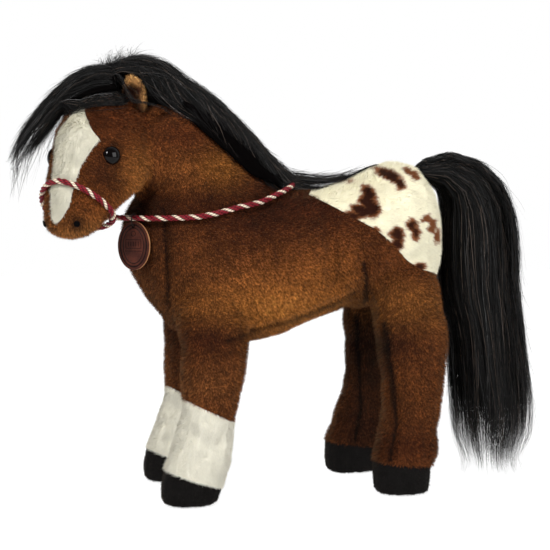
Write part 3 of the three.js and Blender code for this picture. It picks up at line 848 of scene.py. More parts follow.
BROWN_PILE = PlushPile("plush_pile_brown")
PALE_PILE = PlushPile("plush_pile_pale", sheen=0.05, roughness=0.9, grain=0.03)
HOOF_PILE = PlushPile("velour_pile_black", sheen=0.03, roughness=0.8, grain=0.25)
BACKING = KnitBacking("knitted_backing")
HAIR = FringeHair("acrylic_fringe_hair")
HAIR_ROOTS = FringeHair("shaded_hair_roots", roughness=0.8, specular=0.01)
EYE_GLOSS = Moulded("polished_eye_plastic")
WASHER_WHITE = Moulded("satin_washer_plastic", colour="#d9d7d0", roughness=0.4, specular=0.5)
ROPE_RED = TwistedYarn("rayon_yarn_burgundy")
ROPE_CREAM = TwistedYarn("rayon_yarn_cream", colour=Ply.CREAM.value)
THREAD_BROWN = TwistedYarn("sewing_thread_brown", colour="#2a1712", ply=0.5)
THREAD_BLACK = TwistedYarn("sewing_thread_black", colour="#040303", ply=0.5, specular=0.04)
TAG_FACE = TagLeather("pressed_leather")
# Darker finish of the pressed lines: painted shade in their grooves.
TAG_GROOVE_SHADE = TagLeather("pressed_leather_line", colour="#150705", worn="#200c08")
TAG_EDGE = TagLeather("cut_leather_edge", colour="#9a6a45", worn="#b98a60", grain=0.7)
DOCK_TAPE = CottonTape("woven_dock_tape")


# The head's own directions, which the camera sees turned


@dataclass(frozen=True)
class HeadTurn:
    """Where the head stands and which way it looks.

    Attributes:
        middle: its axis on the ground plan.
        turn: angle between its nose and the body's front, in degrees.
    """

    middle: tuple[float, float] = (-150.1, -16.7)
    turn: float = 50.0

    def ways(self) -> tuple[np.ndarray, np.ndarray]:
        """Returns the directions ahead of the nose and to the toy's left, level."""
        angle = math.radians(self.turn)
        ahead = np.array([-math.cos(angle), -math.sin(angle)])
        return ahead, np.array([-ahead[1], ahead[0]])

    def across(self, places: np.ndarray) -> tuple[np.ndarray, np.ndarray]:
        """Returns how far each place lies ahead of the axis and to its left."""
        ahead, left = self.ways()
        level = places[:, :2] - np.array(self.middle)
        return level @ ahead, level @ left

    def mirrored(self, place: np.ndarray) -> np.ndarray:
        """Returns the place or direction on the other cheek."""
        aside = np.append(self.ways()[1], 0.0)
        return place - 2 * (place @ aside) * aside


HEAD = HeadTurn()


# Dyes and painted light and shade: what colour the pile has at a place


@dataclass(frozen=True)
class AirbrushAndShadeDye:
    """A ground with soft passes over it, the same on both sides of the toy; the passes are partly the toy's
    airbrushed colour and partly painted light and shade.

    Attributes:
        ground: sRGB hex of the ground colour.
        passes: for each pass its middle (x, distance from the middle plane, height), its reach
            each way, its sRGB hex, and how much it covers.
        blotches: for each layer of blotches its strength, size and seed.
        head: whether x is counted ahead of the head's axis, and sideways from it.
    """

    ground: str
    passes: tuple[tuple[Spot, Spot, str, float], ...]
    blotches: tuple[tuple[float, float, int], ...]
    head: bool = False

    def tone(self, places: np.ndarray) -> np.ndarray:
        """Colours the pile with its dye and painted light and shade.

        Args:
            places: points in millimetres.

        Returns:
            Linear colours, one row each.
        """
        ahead, aside = HEAD.across(places) if self.head else (places[:, 0], places[:, 1] - MIDDLE)
        spots = np.column_stack([ahead, np.abs(aside), places[:, 2]])
        colour = np.tile(shade(self.ground), (len(places), 1))
        for middle, reach, code, cover in self.passes:
            share = cover * np.exp(-(((spots - middle) / reach) ** 2).sum(1))
            colour += share[:, None] * (shade(code) - colour)
        blotch = 1 + sum(strength * dapple(places, size, seed) for strength, size, seed in self.blotches)
        return colour * np.clip(blotch, 0.6, 1.45)[:, None]


CHESTNUT_AND_SHADE = AirbrushAndShadeDye(
    "#7a4420",
    (
        ((0, 40, 235), (150, 60, 34), "#3f1a0a", 0.95),
        ((-60, 40, 215), (60, 60, 30), "#48200c", 0.7),
        ((-15, 40, 145), (90, 60, 26), "#b87433", 0.95),
        ((30, 45, 170), (40, 40, 24), "#9a5c26", 0.6),
        ((-118, 20, 175), (22, 40, 50), "#63361a", 0.6),
        ((-90, 45, 190), (34, 30, 30), "#6a3c1a", 0.5),
        # Painted shadow under the jaw, on the throat.
        ((-112, 18, 222), (22, 30, 16), "#3d1d0d", 0.95),
        ((-76, 36, 238), (40, 26, 12), "#47200d", 0.8),
        ((-96, 34, 258), (24, 30, 18), "#96592a", 0.8),
        ((-62, 30, 258), (20, 24, 16), "#a2652a", 0.9),
        ((-90, 34, 282), (26, 24, 16), "#5a2a11", 0.7),
        # Painted shade in the crease of the flank seam.
        ((56, 45, 172), (12, 40, 26), "#44200d", 0.7),
        ((-75, 57, 127), (44, 60, 20), "#4a220e", 0.95),
        ((-75, 57, 92), (44, 60, 16), "#7c4c26", 0.6),
        ((90, 60, 178), (44, 60, 20), "#56290f", 0.6),
        ((90, 60, 150), (44, 60, 20), "#8f5827", 0.9),
        ((74, 60, 118), (30, 60, 20), "#3c190a", 0.85),
        ((86, 60, 85), (44, 60, 26), "#73401b", 0.7),
        ((80, 60, 40), (44, 60, 18), "#48210c", 0.8),
        # Painted shadow on the inner sides of the legs, where the near legs shade the far ones; on the hind
        # legs it also stands for darker inner fabric.
        ((78, 16, 80), (60, 32, 90), "#120705", 0.98),
        ((-84, 14, 110), (44, 22, 60), "#2a120a", 0.8),
    ),
    ((0.13, 30, 3), (0.13, 10, 5), (0.09, 4, 6)),
)
HEAD_CHESTNUT_AND_SHADE = AirbrushAndShadeDye(
    "#7b431d",
    (
        ((20, 30, 292), (50, 40, 22), "#653216", 0.9),
        ((5, 36, 262), (24, 24, 18), "#66330f", 0.5),
        ((0, 38, 248), (26, 26, 22), "#b87438", 0.95),
        ((38, 30, 248), (14, 22, 16), "#2f130a", 0.85),
        ((40, 22, 228), (26, 30, 16), "#864a1f", 0.7),
        ((44, 20, 207), (34, 40, 13), "#9a6230", 0.9),
        ((-30, 30, 275), (20, 30, 30), "#5a2a11", 0.6),
        ((29, 28, 265), (10, 10, 11), "#35170b", 0.75),
        ((55, 14, 214), (6, 6, 6), "#180a06", 0.85),
    ),
    ((0.11, 24, 8), (0.13, 9, 9), (0.09, 4, 6)),
    head=True,
)


@dataclass(frozen=True)
class PlainDye:
    """One colour as sRGB hex, a little uneven."""

    colour: str
    uneven: float = 0.04

    def tone(self, places: np.ndarray) -> np.ndarray:
        """Returns the pile's linear colour at each place."""
        return shade(self.colour) * (1 + self.uneven * dapple(places, 16, 12))[:, None]


@dataclass(frozen=True)
class SpottedDye:
    """Cream with printed spots that are dark inside and rusty at their feathered rims.

    Attributes:
        ground: sRGB hex of the cream.
        inside: sRGB hex of the spots.
        rim: sRGB hex of their rims.
        spots: for each part of a spot x, height, half width, half height and how deep its print is.
    """

    ground: str = "#f9f3d8"
    inside: str = "#32170c"
    rim: str = "#8a5230"
    spots: tuple[tuple[float, float, float, float, float], ...] = (
        *((57, 238, 5.5, 7, 9), (55, 232, 6.5, 6, 9), (57, 227, 7.5, 8, 9), (49, 225, 8, 6, 9)),
        *((42, 220.5, 6, 4, 9), (74, 254.5, 5, 4.5, 9), (78.5, 251.5, 6, 6, 9), (82.5, 247, 4.5, 6, 9)),
        *((94, 256, 4.5, 3.5, 1.6), (98, 253, 5, 4.5, 1.6), (88, 214, 5, 5, 9), (92, 207, 4.5, 6, 9)),
        *((103, 219, 4.5, 3.5, 1.3), (109, 213, 5, 6, 1.3), (115, 205, 4.5, 6, 1.3), (76, 206, 6.5, 6, 9)),
        *((75.5, 199, 6, 6, 9), (59, 209, 3, 2.2, 1.2), (95.5, 179.5, 6.5, 4, 9), (44, 249, 7, 2.5, 1.4)),
    )

    def tone(self, places: np.ndarray) -> np.ndarray:
        """Dyes the pile.

        Args:
            places: points in millimetres.

        Returns:
            Linear colours, one row each.
        """
        ragged = 0.8 * dapple(places, 7, 21) + 0.45 * dapple(places, 2.5, 22)
        cover = np.full(len(places), -9.0)
        for x, height, wide, tall, deep in self.spots:
            apart = np.hypot((places[:, 0] - x) / wide, (places[:, 2] - height) / tall)
            cover = np.maximum(cover, np.minimum((1 - apart) * min(wide, tall) + ragged, deep))
        base = shade(self.ground) * (1 + 0.03 * dapple(places, 20, 23))[:, None]
        colour = base + fade(cover, -1.3, 0.8)[:, None] * (shade(self.rim) - base)
        return colour + fade(cover, 0.5, 2.8)[:, None] * (shade(self.inside) - colour)


# Pile: short fibres scattered over a panel


@dataclass(frozen=True)
class Pile:
    """Cut pile of a panel.

    Attributes:
        finish: finish of the fibres.
        length: of a fibre.
        width: of a fibre at its root, drawn as coarse as it needs to show.
        thickness: fibres on a square millimetre.
        lean: angle between fibre and surface normal in degrees.
        stray: how much the fibres differ in direction.
        root: brightness at the root, as a share of the dye.
        tip: brightness at the tip.
        uneven: how much fibres differ in brightness.
        most: how many fibres a panel may have.
    """

    finish: Finish
    length: float = 3.2
    width: float = 0.44
    thickness: float = 2.6
    lean: float = 42.0
    stray: float = 0.45
    root: float = 0.38
    tip: float = 1.4
    uneven: float = 0.52
    most: int = 190000

    def grow(
        self, name: str, skin: bpy.types.Object, tone: Field, comb: Field, seed: int
    ) -> bpy.types.Object:
        """Scatters fibres over a skin.

        Args:
            name: name of the new piece.
            skin: surface that carries the fibres.
            tone: dye at given places.
            comb: direction in which the pile is brushed at given places.
            seed: chooses the scatter.

        Returns:
            The pile as one mesh of slim triangles.
        """
        chance = np.random.default_rng(seed)
        skin.data.calc_loop_triangles()
        corners = read(skin.data.loop_triangles, "vertices", 3, np.int32)
        sides = places_of(skin)[corners]
        area = np.linalg.norm(np.cross(sides[:, 1] - sides[:, 0], sides[:, 2] - sides[:, 0]), axis=1) / 2
        count = min(int(area.sum() * self.thickness), self.most)
        chosen = chance.choice(len(corners), size=count, p=area / area.sum())
        shares = chance.dirichlet((1, 1, 1), size=count)
        root = (sides[chosen] * shares[:, :, None]).sum(1)
        up = unit((normals_of(skin)[corners[chosen]] * shares[:, :, None]).sum(1))
        flow = comb(root)
        flow = unit(flow - (flow * up).sum(1, keepdims=True) * up)
        flow = unit(flow + self.stray * chance.normal(size=(count, 3)))
        lean = np.radians(self.lean + chance.normal(0, 9, count))[:, None]
        way = unit(np.cos(lean) * up + np.sin(lean) * flow)
        length = (self.length * chance.uniform(0.7, 1.2, count))[:, None]
        across = unit(np.cross(way, up) + 0.2 * chance.normal(size=(count, 3))) * self.width / 2
        tip = root + way * length
        root = root - up * 0.3
        points = np.stack([root - across, root + across, tip], axis=1).reshape(-1, 3)
        colour = tone(root) * np.clip(1 + self.uneven * chance.normal(size=(count, 1)), 0.3, 1.9)
        tones = np.stack([colour * self.root, colour * self.root, colour * self.tip], axis=1)
        lit = unit(up + 0.18 * flow + 0.6 * self.uneven * chance.normal(size=(count, 3)))
        piece = piece_from(name, points, np.arange(3 * count).reshape(-1, 3))
        set_tone(piece, tones.reshape(-1, 3))
        set_normals(piece, np.repeat(lit, 3, axis=0))
        self.finish.put_on(piece)
        return piece


# Coat: the sewn and stuffed plush body


def brushed(x: float, y: float, z: float) -> Field:
    """Returns a comb that brushes the pile the same way everywhere."""
    return lambda places: np.tile(np.array([x, y, z]), (len(places), 1))


@dataclass(frozen=True)
class Panel:
    """One sewn panel of the coat.

    Attributes:
        name: its name.
        nodes: CAD nodes that it stands for.
        slot: material slot of the record.
        tone: its dye, which on the brown and head panels holds painted light and shade too.
        pile: its pile.
        comb: the way its pile is brushed.
        fill: how tight it is stuffed, or nothing if it isn't padded.
    """

    name: str
    nodes: tuple[str, ...]
    slot: str
    tone: Field
    pile: Pile
    comb: Field
    fill: float | None = 0.8


@dataclass(frozen=True)
class Leg:
    """One leg with the slanting top of its hoof.

    Attributes:
        name: of the leg.
        fore: whether it is a foreleg.
        side: side of the toy.
        toe: x of the toe.
        front: height of the hoof there.
        fall: how much lower the hoof is at its heel.
        length: of the hoof.
    """

    name: str
    fore: bool
    side: Side
    toe: float
    front: float
    fall: float
    length: float

    def holds(self, places: np.ndarray, top: float) -> np.ndarray:
        """Tells which places are on this leg.

        Args:
            places: points in millimetres.
            top: height that they lie below.

        Returns:
            True for places in the leg's quarter of the toy and below that height.
        """
        left = places[:, 1] < MIDDLE
        return ((places[:, 0] < 0) == self.fore) & (left == (self.side is Side.LEFT)) & (places[:, 2] < top)


LEGS = (
    Leg("foreleg_left", True, Side.LEFT, -115.1, 30.5, 17, 51),
    Leg("foreleg_right", True, Side.RIGHT, -115.1, 30.5, 17, 51),
    Leg("hindleg_left", False, Side.LEFT, 49.9, 28, 6, 68),
    Leg("hindleg_right", False, Side.RIGHT, 39.4, 28, 6, 68),
)


@dataclass
class Coat:
    """The whole stuffed skin, made as one smooth form and then cut into its panels.

    Attributes:
        voxel: size of the grid that joins the solids.
        inset: how far the cloth lies under the tips of its pile.
        cloth: thickness of the backing.
        seams: lines along which the cloth is drawn in, as x and height, with depth.
        patch: outline of the rump panel as x and height.
        blaze: left half of the face panel's outline, as distance from its middle and height.
        sock: x, height and slope of the top of the stockings.
        give: how far the stuffing may push the cloth.
        slack: how far the empty cloth hangs inside the CAD skin between the seams.
    """

    voxel: float = 2.2
    inset: float = 2.1
    cloth: float = 0.9
    seams: tuple[tuple[tuple[tuple[float, float], ...], float], ...] = (
        (((-106, 226), (-105, 200), (-103, 170), (-99, 138)), 1.5),
        (((-62, 126), (-38, 131.4), (-6, 138), (26, 149), (46, 160)), 1.3),
        (((50, 184), (52, 176), (56, 160), (61, 146)), 2.6),
        (((68, 136), (69.5, 119), (73, 88), (73.6, 57), (67.7, 30)), 2.0),
    )
    patch: tuple[tuple[float, float], ...] = (
        *((12.7, 237.3), (24.6, 230.0), (40.4, 220.4), (58.9, 210.1), (72.1, 199.1), (84.0, 187.0)),
        *((96.0, 178.5), (118.3, 174.1), (144.7, 170.5), (144.7, 280.7), (47.0, 280.7), (36.5, 255.7)),
    )
    blaze: tuple[tuple[float, float], ...] = (
        *((0, 214.5), (5.1, 218.6), (8.4, 227.5), (9.9, 238.5), (12.1, 256.5), (19.5, 276.6), (0, 304.5)),
    )
    sock: tuple[float, float, float] = (-94.1, 81.5, 24 / 51)
    give: float = 1.6
    slack: float = 1.25
    panels: list[Panel] = field(default_factory=list)

    def plan(self) -> None:
        """Lists the panels with their dyes, some with painted light and shade, and their piles."""
        pile = Pile(BROWN_PILE)
        pale = {"root": 0.95, "stray": 0.3, "uneven": 0.05}
        cream = Pile(PALE_PILE, length=3.0, width=0.5, root=0.93, tip=1.03, stray=0.2, uneven=0.05)
        sock = Pile(PALE_PILE, length=3.0, width=0.45, thickness=4, tip=1.03, **pale)
        blaze = Pile(PALE_PILE, length=2.6, thickness=4.5, tip=1.02, lean=50, **pale)
        hoof = Pile(HOOF_PILE, length=1.6, width=0.5, thickness=1.6, root=0.7, tip=1.15, lean=40)
        face = Pile(BROWN_PILE, length=2.8, width=0.42, thickness=3.0)
        brown, spotted, head = CHESTNUT_AND_SHADE.tone, SpottedDye().tone, HEAD_CHESTNUT_AND_SHADE.tone
        chalk, white, black = [PlainDye(*dye).tone for dye in (("#dfdbc9",), ("#f3efdf",), ("#141211", 0.1))]
        down, back = brushed(0.12, 0, -1), brushed(0.35, 0, -0.94)
        rear, side = brushed(0.8, 0, -0.6), brushed(0.62, 0, -0.78)
        torso = ("torso_skin", "belly_gusset", "torso_filling")
        self.panels = [
            Panel("torso_coat", torso, "plush_brown", brown, pile, side),
            Panel("rump_coat", ("rump_patch",), "plush_cream", spotted, cream, rear),
            Panel("neck_coat", ("neck_skin", "neck_filling"), "plush_brown", brown, pile, back),
            Panel("head_coat", ("head_skin", "head_filling"), "plush_brown", head, face, down),
            Panel("face_coat", ("face_blaze",), "plush_white", chalk, blaze, down, None),
        ]
        for name, fore in [(leg.name, leg.fore) for leg in LEGS]:
            sleeve = (f"{name}_skin", f"{name}_filling")
            self.panels.append(Panel(f"{name}_coat", sleeve, "plush_brown", brown, pile, down))
            if fore:
                stocking = (f"{name}_stocking",)
                self.panels.append(Panel(f"{name}_sock", stocking, "plush_white", white, sock, down, None))
            toe = (f"{name}_hoof",)
            self.panels.append(Panel(f"{name}_toe", toe, "plush_black", black, hoof, down, None))

    def nearest_nodes(self, places: np.ndarray) -> np.ndarray:
        """Finds the panel whose CAD skin lies nearest to each place.

        Args:
            places: points in millimetres.

        Returns:
            The panel's number for each place.
        """
        points, faces, owner = [], [], []
        for number, panel in enumerate(self.panels):
            for node in panel.nodes:
                if node.endswith("_filling"):
                    continue
                mesh = frame["nodes"][node].data
                start = len(points)
                points += [v.co.copy() for v in mesh.vertices]
                faces += [[start + k for k in p.vertices] for p in mesh.polygons]
                owner += [number] * len(mesh.polygons)
        tree = BVHTree.FromPolygons(points, faces)
        return np.array([owner[tree.find_nearest(Vector(p * MM))[2]] for p in places])

    def soften(self, coat: bpy.types.Object) -> None:
        """Rounds the form, most where limbs run into the body, and sinks it under the pile's tips.

        Args:
            coat: the whole surface.
        """
        links = edges_of(coat)
        points = relaxed(places_of(coat), links, 4)
        owner = self.nearest_nodes(points)
        brown = np.array([p.slot == "plush_brown" for p in self.panels])[owner]
        patch = np.array([p.name == "rump_coat" for p in self.panels])[owner]
        head = np.array([p.name.startswith(("head", "face")) for p in self.panels])[owner]
        family = np.where(patch, 0, owner)
        joint = (family[links[:, 0]] != family[links[:, 1]]) & brown[links].any(1)
        near = np.zeros(len(points))
        near[links[joint].ravel()] = 1
        near *= points[:, 2] > 100
        for _ in range(7):
            near = np.maximum(near, 0.86 * spread(near, links))
        strength = np.where(head, 0.25, 1.0) * np.clip(near * 1.6, 0, 1)
        points = relaxed(relaxed(points, links, 46, strength), links, 3)
        move_to(coat, points)
        points = points + self.stuffed(coat, head)
        move_to(coat, points)
        sunk = self.inset + self.groove(points) - self.fuller(points, normals_of(coat), head)
        move_to(coat, points - normals_of(coat) * sunk[:, None])

    def stuffed(self, coat: bpy.types.Object, head: np.ndarray) -> np.ndarray:
        """Blows the cloth out between its seams by a short simulation of a coarse copy.

        Args:
            coat: the whole surface.
            head: which places are on the head, which keeps its shape.

        Returns:
            Move of each point in millimetres.
        """
        points = places_of(coat)
        soft = placed("soft_copy", coat.data.copy())
        apply_modifier(soft, "REMESH", mode="VOXEL", voxel_size=5 * MM)
        start, facing = places_of(soft), normals_of(soft)
        near = point_tree(points)
        face = head[[near.find(point)[1] for point in start]]
        crest = fade(facing[:, 2], 0.45, 0.75) * fade(start[:, 2], 190, 210)
        hold = np.clip(self.groove(start) + face + crest + fade(start[:, 2], 40, 30), 0, 1)
        group = soft.vertex_groups.new(name="held")
        for k in np.flatnonzero(hold > 0.05):
            group.add([int(k)], float(hold[k]), "REPLACE")
        cloth = soft.modifiers.new("Cloth", "CLOTH")
        settings = cloth.settings
        settings.quality = 4
        settings.use_pressure = True
        settings.uniform_pressure_force = 4.0
        settings.effector_weights.gravity = 0
        settings.vertex_group_mass = group.name
        settings.tension_stiffness = settings.compression_stiffness = 5.0
        settings.shear_stiffness = 2.0
        settings.bending_stiffness = 0.2
        settings.shrink_min = -0.02
        for step in range(1, 21):
            bpy.context.scene.frame_set(step)
        pick(soft)
        bpy.ops.object.modifier_apply(modifier=cloth.name)
        move = places_of(soft) - start
        bpy.context.scene.frame_set(1)
        bpy.data.objects.remove(soft)
        move *= np.minimum(1, self.give / np.maximum(np.linalg.norm(move, axis=1, keepdims=True), 1e-6))
        log.info("stuffing moved the cloth by %.2f mm in the mean", np.linalg.norm(move, axis=1).mean())
        move -= self.slack * (1 - hold)[:, None] * facing
        near = point_tree(start)
        found = [near.find_n(point, 6) for point in points]
        index = np.array([[hit[1] for hit in hits] for hits in found])
        share = np.exp(-((np.array([[hit[2] for hit in hits] for hits in found]) / 5) ** 2))
        return (move[index] * (share / share.sum(1, keepdims=True))[:, :, None]).sum(1)

    def fuller(self, points: np.ndarray, normals: np.ndarray, head: np.ndarray) -> np.ndarray:
        """How much fuller the stuffing makes the legs, and how much slacker the belly and the jaw.

        Args:
            points: places in millimetres.
            normals: directions in which the cloth faces.
            head: which places are on the head.

        Returns:
            Outward move at each place.
        """
        x, height = points[:, 0], points[:, 2]
        limb = fade(height, 150, 125) * ~head
        back, front = (np.clip(way * normals[:, 0], 0, 1) for way in (1, -1))
        sock = 2.2 + 0.5 * fade(height, 60, 40) + 2.6 * fade(height, 66, 80)
        sock *= 0.4 + 0.6 * fade(height, 22, 34)
        rear = np.where(x > 0, -2.0 + 5.8 * fade(height, 18, 36), sock) * back
        shin = 0.8 * fade(height, 28, 40) + 1.2 * fade(height, 70, 95)
        fore = np.where(x > 0, 1.3 + 1.8 * (points[:, 1] > 0), shin) * front
        jaw = head * 3.4 * fade(HEAD.across(points)[0], 42, 26)
        belly = ~head * 2.3 * fade(x, -25, 5) * fade(x, 60, 45) * fade(height, 110, 125)
        top = ~head * 1.2 * fade(x, 20, 50) * np.clip(normals[:, 2], 0, 1) * fade(height, 200, 220)
        return limb * (rear + fore) + top - np.clip(-normals[:, 2], 0, 1) * (jaw + belly)

    def groove(self, points: np.ndarray) -> np.ndarray:
        """Measures how deep the seams draw the cloth in.

        Args:
            points: places in millimetres.

        Returns:
            Depth at each place.
        """
        depth = np.zeros(len(points))
        outer = fade(np.abs(points[:, 1] - MIDDLE), 16, 26)
        for line, deep in self.seams:
            apart = outline_distance(points[:, [0, 2]], np.array(line, float), closed=False)
            depth = np.maximum(depth, deep * np.exp(-((apart / 1.9) ** 2)) * outer)
        return depth

    def patch_inside(self, places: np.ndarray) -> np.ndarray:
        """Returns the signed distance inside the rump panel, seen from the side."""
        return outline_distance(places[:, [0, 2]], np.array(self.patch, float))

    def blaze_inside(self, places: np.ndarray) -> np.ndarray:
        """Measures how far inside the face panel a place lies, seen from the front of the head.

        Args:
            places: points in millimetres.

        Returns:
            Signed distance of each place.
        """
        kite = np.array(self.blaze + tuple((-0.88 * a, h) for a, h in self.blaze[-2:0:-1]), float)
        ahead, aside = HEAD.across(places)
        inside = outline_distance(np.column_stack([aside, places[:, 2]]), kite)
        return np.where(ahead > 0, inside, -5.0)

    def below_sock(self, places: np.ndarray) -> np.ndarray:
        """Measures how far below the top of the stockings a place lies.

        Args:
            places: points in millimetres.

        Returns:
            Signed distance of each place.
        """
        x, top, slope = self.sock
        height = top - (places[:, 0] - x) * slope
        return np.where((places[:, 0] < -20) & (places[:, 2] < 118), height - places[:, 2], -5.0)

    def below_toes(self, places: np.ndarray) -> np.ndarray:
        """Measures how far below the tops of the hooves a place lies.

        Args:
            places: points in millimetres.

        Returns:
            Signed distance of each place.
        """
        inside = np.full(len(places), -5.0)
        for leg in LEGS:
            height = leg.front - (places[:, 0] - leg.toe) * leg.fall / leg.length
            inside = np.where(leg.holds(places, 60), height - places[:, 2], inside)
        return inside

    def cut_apart(self, coat: bpy.types.Object) -> list[bpy.types.Object]:
        """Cuts the surface into its panels.

        Args:
            coat: the whole surface.

        Returns:
            The panels in the order of the plan.
        """
        cuts = (self.patch_inside, self.blaze_inside, self.below_sock, self.below_toes)
        for cut in cuts:
            cut_along(coat, cut)
        centres = read(coat.data.polygons, "center", 3).astype(float) / MM
        number = {panel.name: k for k, panel in enumerate(self.panels)}
        owner = self.nearest_nodes(centres)
        patch, blaze, sock, toes = [cut(centres) > 0 for cut in cuts]
        ground = np.full(len(centres), number["torso_coat"])
        for near, own in (("neck_coat", "neck_coat"), ("head_coat", "head_coat"), ("face_coat", "head_coat")):
            ground[owner == number[near]] = number[own]
        for leg in LEGS:
            own = np.array([name.startswith(leg.name) for name in number])[owner] | leg.holds(centres, 100)
            ground[own] = number[f"{leg.name}_coat"]
            if leg.fore:
                ground[own & sock] = number[f"{leg.name}_sock"]
            ground[own & toes] = number[f"{leg.name}_toe"]
        ground[patch & (centres[:, 2] > 150)] = number["rump_coat"]
        ground[blaze] = number["face_coat"]
        return split(coat, ground, list(number))

    def build(self) -> None:
        """Makes the coat, its panels and their pile."""
        self.plan()
        coat = joined([node for panel in self.panels for node in panel.nodes], "coat", self.voxel)
        self.soften(coat)
        self.surface = surface_tree(coat.data)
        for number, (panel, skin) in enumerate(zip(self.panels, self.cut_apart(coat))):
            self.finish(panel, skin, 100 + number)

    def finish(self, panel: Panel, skin: bpy.types.Object, seed: int) -> None:
        """Grows a panel's pile, thickens its cloth and sets it on the body.

        Args:
            panel: what it is.
            skin: its surface.
            seed: of its pile.
        """

        def tone(places: np.ndarray) -> np.ndarray:
            """Returns the dye with painted shade in the seams, darker where they draw the cloth in deeper.

            Args:
                places: points in millimetres.

            Returns:
                Linear colours, one row each.
            """
            # Painted shade: the colour darkens in the seam grooves.
            return panel.tone(places) * (1 - 0.8 * np.clip(self.groove(places) / 1.5, 0, 1))[:, None]

        pile = panel.pile.grow(f"{panel.name}_pile", skin, tone, panel.comb, seed)
        set_tone(skin, tone(places_of(skin)) * panel.pile.root**1.1)
        apply_modifier(skin, "SOLIDIFY", thickness=self.cloth * MM, offset=-1.0, use_even_offset=False)
        BACKING.put_on(skin)
        settle(skin, "body", panel.slot, *panel.nodes)
        settle(pile, "body", panel.slot)
        counts = (len(skin.data.vertices), len(pile.data.polygons))
        log.info("%s: %d points of cloth, %d fibres", panel.name, *counts)


def cut_along(piece: bpy.types.Object, cut: Field) -> None:
    """Adds edges to a mesh along the zero line of a signed distance.

    Args:
        piece: mesh that is cut.
        cut: signed distance at given places.
    """
    value = cut(places_of(piece))
    value = np.where(np.abs(value) < 0.05, 0.05, value)
    fresh = []
    with reshaped(piece.data) as bm:
        for edge in list(bm.edges):
            a, b = edge.verts
            left, right = value[a.index], value[b.index]
            if left * right < 0 and abs(left) + abs(right) < 4.9:
                fresh.append(bmesh.utils.edge_split(edge, a, left / (left - right))[1])
        bmesh.ops.connect_verts(bm, verts=fresh)


def split(piece: bpy.types.Object, owner: np.ndarray, names: Sequence[str]) -> list[bpy.types.Object]:
    """Separates a mesh by the owner of its faces.

    Args:
        piece: the whole, which is removed.
        owner: for each face the number of its new piece.
        names: names of the new pieces.

    Returns:
        One object for each name.
    """
    pieces = []
    for number, name in enumerate(names):
        mesh = bpy.data.meshes.new(name)
        with reshaped(mesh, piece.data) as bm:
            gone = [f for f in bm.faces if owner[f.index] != number]
            bmesh.ops.delete(bm, geom=gone, context="FACES")
            for face in bm.faces:
                face.smooth = True
        pieces.append(placed(name, mesh))
    bpy.data.objects.remove(piece)
    return pieces


# Ears


@dataclass
class Ears:
    """Two curled ears, each a shell of plush open to the front.

    Attributes:
        voxel: size of the grid that rounds the CAD shell.
        inset: how far the cloth lies under the tips of its pile.
        lean: how far the tip leans out.
        pile: its pile.
    """

    voxel: float = 1.1
    inset: float = 0.5
    lean: float = 3.6
    pile: Pile = Pile(BROWN_PILE, length=2.4, width=0.42, thickness=3.4, lean=48)

    def build(self) -> None:
        """Makes both ears and their pile."""
        for number, side in enumerate(Side):
            self.ear(side, 200 + number)

    def ear(self, side: Side, seed: int) -> None:
        """Makes one ear.

        Args:
            side: which ear it is.
            seed: of its pile.
        """
        node = side.named("ear")
        ear = rounded_copy(node, f"{node}_coat", self.voxel, 5)
        low, high = (np.array(corner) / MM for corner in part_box(node))
        points = places_of(ear) - normals_of(ear) * self.inset
        points[:, 2] -= 0.09 * (points[:, 2] - low[2])
        middle = (low + high) / 2
        rise = (points[:, 2] - middle[2]) / (high[2] - middle[2])
        points[:, :2] -= self.lean * side.value * np.outer(np.maximum(rise, -0.2), HEAD.ways()[1])
        move_to(ear, points)
        ahead_mid, aside_mid = HEAD.across(middle[None, :])

        def tone(places: np.ndarray) -> np.ndarray:
            """Colours the rim and back golden and the inside dark.

            Args:
                places: points in millimetres.

            Returns:
                Linear colours, one row each.
            """
            ahead, aside = HEAD.across(places)
            away = np.hypot((ahead - ahead_mid) / 9, (aside - aside_mid) / 9)
            rim = fade(away + (places[:, 2] - middle[2]) / 60, 0.4, 0.85)
            rim *= 1 - fade(ahead - ahead_mid, 0, 4) * fade(places[:, 2], middle[2] + 9, middle[2] + 2)
            colour = shade("#3c1c0d") + rim[:, None] * (shade("#c99258") - shade("#3c1c0d"))
            return colour * (1 + 0.1 * dapple(places, 7, 31))[:, None]

        pile = self.pile.grow(f"{node}_pile", ear, tone, brushed(0.2, 0, 1), seed)
        set_tone(ear, tone(places_of(ear)) * 0.45)
        BACKING.put_on(ear)
        settle(ear, "body", "plush_brown", node)
        settle(pile, "body", "plush_brown")
        log.info("%s: %d fibres", node, len(pile.data.polygons))


# Long hair: a core and thousands of fibres that follow the same line


@dataclass(frozen=True)
class Row:
    """One section of a lock of hair.

    Attributes:
        place: its middle.
        lean: direction of its outer side in the middle plane, in degrees from upright towards the tail.
        depth: half of its size along that direction.
        breadth: half of its size across the toy.
    """

    place: Spot
    lean: float
    depth: float
    breadth: float

    def out(self) -> np.ndarray:
        """Returns the direction of its outer side."""
        angle = math.radians(self.lean)
        return np.array([math.sin(angle), 0.0, math.cos(angle)])


def plane_cut(node: str, spot: np.ndarray, normal: np.ndarray) -> np.ndarray:
    """Finds where a plane cuts the edges of a CAD solid.

    Args:
        node: the solid.
        spot: a place on the plane.
        normal: its direction.

    Returns:
        The places, one row each.
    """
    solid = frame["nodes"][node]
    points, ends = places_of(solid), edges_of(solid)
    past = (points - spot) @ normal
    ends = ends[past[ends[:, 0]] * past[ends[:, 1]] < 0]
    share = (past[ends[:, 0]] / (past[ends[:, 0]] - past[ends[:, 1]]))[:, None]
    return points[ends[:, 0]] * (1 - share) + points[ends[:, 1]] * share


